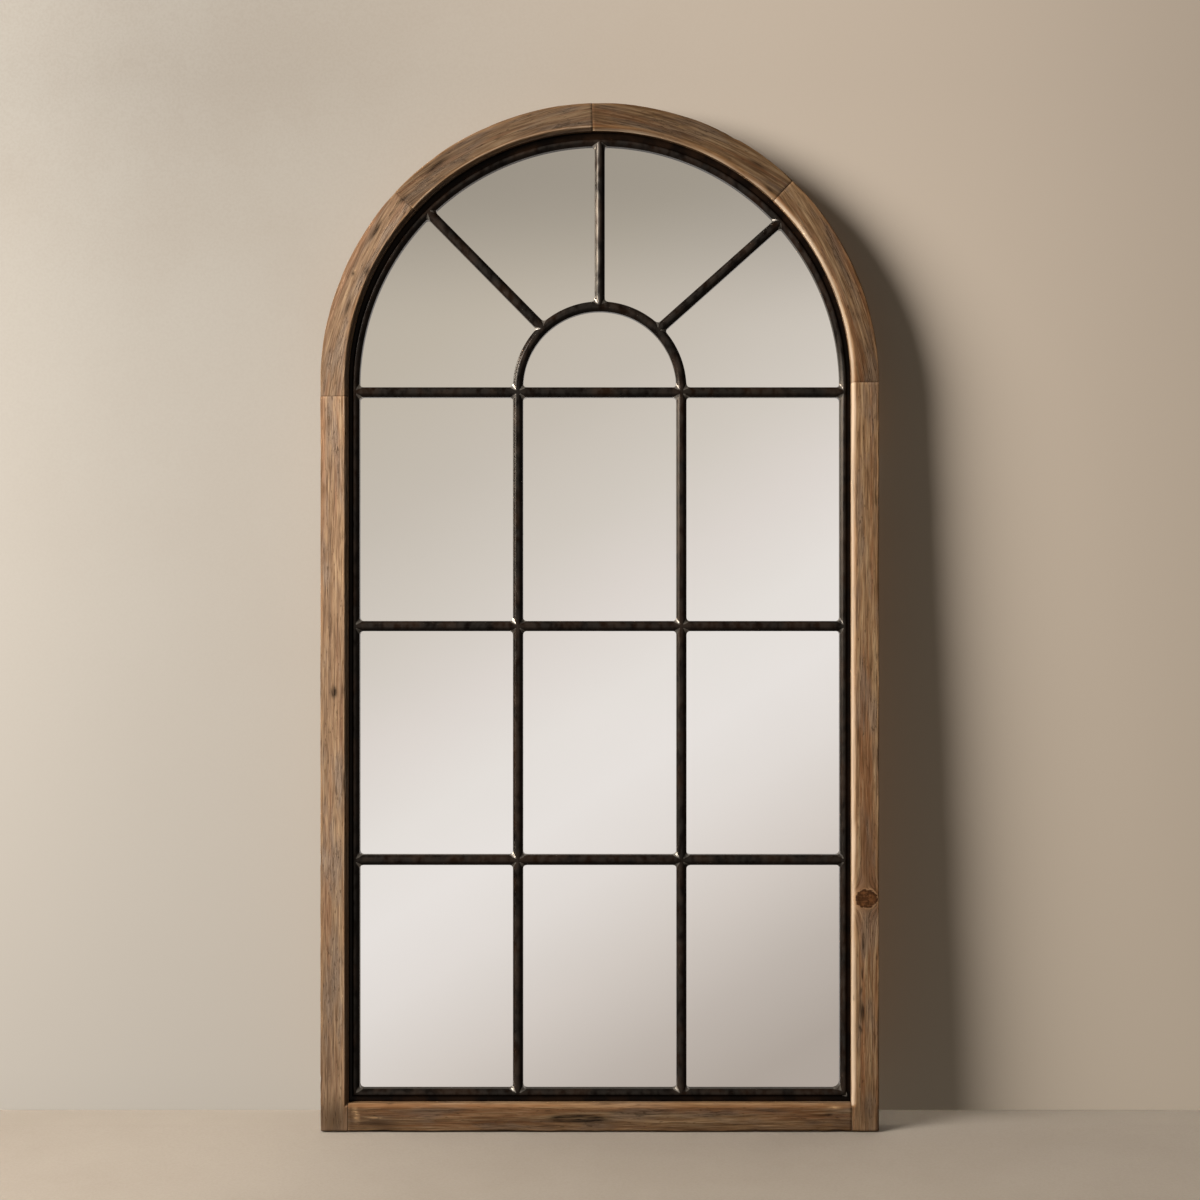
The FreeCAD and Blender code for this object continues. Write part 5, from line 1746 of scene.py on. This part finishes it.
@dataclass
class Studio:
    """Pale floor and wall, soft key light from the upper left, even room light, and the camera.

    Lengths are in metres here. Each edge of the window gives an axis of the view and where the
    window's light starts and is full, and each tone gives a height in the room and its colour.
    """

    eye: tuple[float, float, float] = (0.0003, -2.519, 0.627)
    view_width: float = 1.416
    view_distance: float = 2.5
    sensor: float = 36.0
    key_place: tuple[float, float, float] = (-1.85, -1.23, 1.65)
    key_aim: tuple[float, float, float] = (0.0, 0.0, 0.6)
    key_size: float = 1.35
    key_power: float = 107.5
    key_colour: str = "#fffaf4"
    room: tuple[float, float, float, float] = (0.1, 0.6, 0.105, 0.8)
    room_colour: str = "#f4ecdf"
    background: str = "#c4b6a5"
    wall_foot: float = 0.086
    lean: float = math.radians(2.86)
    wall_half: float = 4.0
    wall_height: float = 4.0
    floor_half: float = 6.0
    heel: float = 0.014
    ridge_slope: float = 0.62
    least_facing: float = 0.25
    gloss: float = 1.205
    dusk: tuple[float, float, float] = (0.125, 0.2, 0.69)
    window: float = 145.0
    window_edges: tuple[tuple[int, float, float], ...] = (
        (0, -0.72, -0.86), (1, 0.35, 0.2), (1, -0.38, -0.24), (2, -0.08, 0.25), (2, 0.5, 0.4))
    tones: tuple[tuple[float, str], ...] = (
        (-0.27, "#a89e95"), (-0.225, "#b7aea6"), (-0.177, "#cbc3bc"), (-0.129, "#d9d3ce"), (-0.09, "#dfdad6"),
        (-0.05, "#ddd8d3"), (-0.005, "#d5cec8"), (0.042, "#cac3ba"), (0.1, "#bfb7ac"), (0.17, "#b8afa1"),
        (0.25, "#b1a89a"))

    def camera(self) -> None:
        """Set the camera at the photograph's height and distance, looking straight at the face."""
        data = bpy.data.cameras.new("photo_camera")
        data.sensor_width = self.sensor
        data.lens = self.sensor * self.view_distance / self.view_width
        holder = bpy.data.objects.new("photo_camera", data)
        holder.location = self.eye
        holder.rotation_euler = (math.pi / 2, 0, 0)
        bpy.context.scene.collection.objects.link(holder)
        bpy.context.scene.camera = holder

    def lamps(self) -> None:
        """Hang one large soft lamp at the upper left.

        The glass doesn't mirror it, so no side view clips to white.
        """
        data = bpy.data.lights.new("key", "AREA")
        data.shape, data.size, data.energy = "DISK", self.key_size, self.key_power
        data.color = linear(self.key_colour)[:3]
        holder = bpy.data.objects.new("key", data)
        holder.location = self.key_place
        way = Vector(self.key_aim) - Vector(self.key_place)
        holder.rotation_euler = way.to_track_quat("-Z", "Y").to_euler()
        bpy.context.scene.collection.objects.link(holder)
        unlit = bpy.data.collections.new("not_lit_by_key")
        unlit.objects.link(frame["nodes"]["mirror_glass"])
        holder.light_linking.receiver_collection = unlit
        unlit.collection_objects[0].light_linking.link_state = "EXCLUDE"

    def world(self) -> None:
        """Light the room evenly, dimmer in front.

        The camera sees a plain backdrop. Gloss sees a room: a soft bright band slants through what
        lies in front of the mirror, dusk above it, and a high window is far to the left.
        """
        world = bpy.data.worlds.new("studio")
        bpy.context.scene.world = world
        world.use_nodes = True
        nodes = world.node_tree.nodes
        graph = Graph(world.node_tree)
        add = graph.add
        view = add("ShaderNodeSeparateXYZ", [add(COORDINATES, output="Generated")]).node.outputs
        x, y, z = view
        base = nodes["Background"]
        graph.fill(base.inputs["Color"], self.room_colour)
        graph.fill(base.inputs["Strength"], add(SPREAD, [y, *self.room], interpolation_type="LINEAR"))
        facing = add(MATHS, [add(MATHS, [y], operation="ABSOLUTE"), self.least_facing], operation="MAXIMUM")
        height = add(MATHS, [z, facing], **OVER)
        slant = add(MATHS, [add(MATHS, [x, facing], **OVER), self.ridge_slope], **TIMES)
        rise = add(MATHS, [height, slant], **MINUS)
        low, high = self.tones[0][0], self.tones[-1][0]
        band = add("ShaderNodeValToRGB", [add(SPREAD, [rise, low, high], interpolation_type="LINEAR")])
        give_stops(band, [((place - low) / (high - low), colour) for place, colour in self.tones])
        start, end, least = self.dusk
        level = add(SPREAD, [height, start, end, self.gloss, self.gloss * least])
        pane = self.window
        for axis, start, end in self.window_edges:
            pane = add(MATHS, [pane, add(SPREAD, [view[axis], start, end])], **TIMES)
        gloss = add("ShaderNodeBackground", [band, add(MATHS, [level, pane])])
        plain = add("ShaderNodeBackground", [self.background, 1.0])
        ray = add("ShaderNodeLightPath").node.outputs
        direct = add(MATHS, [ray["Diffuse Depth"], 0.5], operation="LESS_THAN")
        shiny = add(MATHS, [ray["Is Glossy Ray"], direct], **TIMES)
        seen = add("ShaderNodeMixShader", [shiny, base.outputs[0], gloss])
        graph.fill(nodes["World Output"].inputs["Surface"],
                   add("ShaderNodeMixShader", [ray["Is Camera Ray"], seen, plain]))

    def floor(self) -> None:
        """Lay a wide pale floor, which takes shadows and light but gives none back to the glass or the wood.

        In front of the heel of the frame it falls away by the lean, so the front edge of the foot is lifted
        a little, as on a mirror that leans back.
        """
        half = self.floor_half
        near = -(half + self.heel) * math.tan(self.lean)
        edges = ((-half, near), (self.heel, 0.0), (half, 0.0))
        floor = mesh_object("floor", np.array([(side * half, y, z) for y, z in edges for side in (-1, 1)]),
                            [(0, 1, 3, 2), (2, 3, 5, 4)])
        floor.data.materials.append(StageSurface("plain_pale_floor", "#9f9589").material())
        floor.visible_glossy = floor.visible_diffuse = False

    def wall(self) -> None:
        """Set up a wall behind the mirror, for its shadow. It leans, as the mirror would lean on it.

        It is seen only from its front, and gives and takes no other light.
        """
        half, foot, top = self.wall_half, self.wall_foot, self.wall_height
        far = foot - top * math.tan(self.lean)
        corners = ((-half, foot, 0), (half, foot, 0), (half, far, top), (-half, far, top))
        wall = mesh_object("wall", np.array(corners), [(0, 1, 2, 3)])
        wall.data.materials.append(StageWall("plain_pale_wall", "#97928a").material())
        wall.visible_shadow = wall.visible_diffuse = wall.visible_glossy = wall.visible_transmission = False

    def make(self) -> None:
        """Set up the whole studio."""
        self.camera()
        self.lamps()
        self.world()
        self.floor()
        self.wall()
        bpy.context.scene.view_settings.view_transform = "Standard"


def main() -> None:
    """Build every part in order."""
    logging.basicConfig(level=logging.INFO, format="%(message)s")
    Studio().make()
    WoodFrame().make()
    IronGrid().make()
    BackHardware().make()


if __name__ == "__main__":
    main()
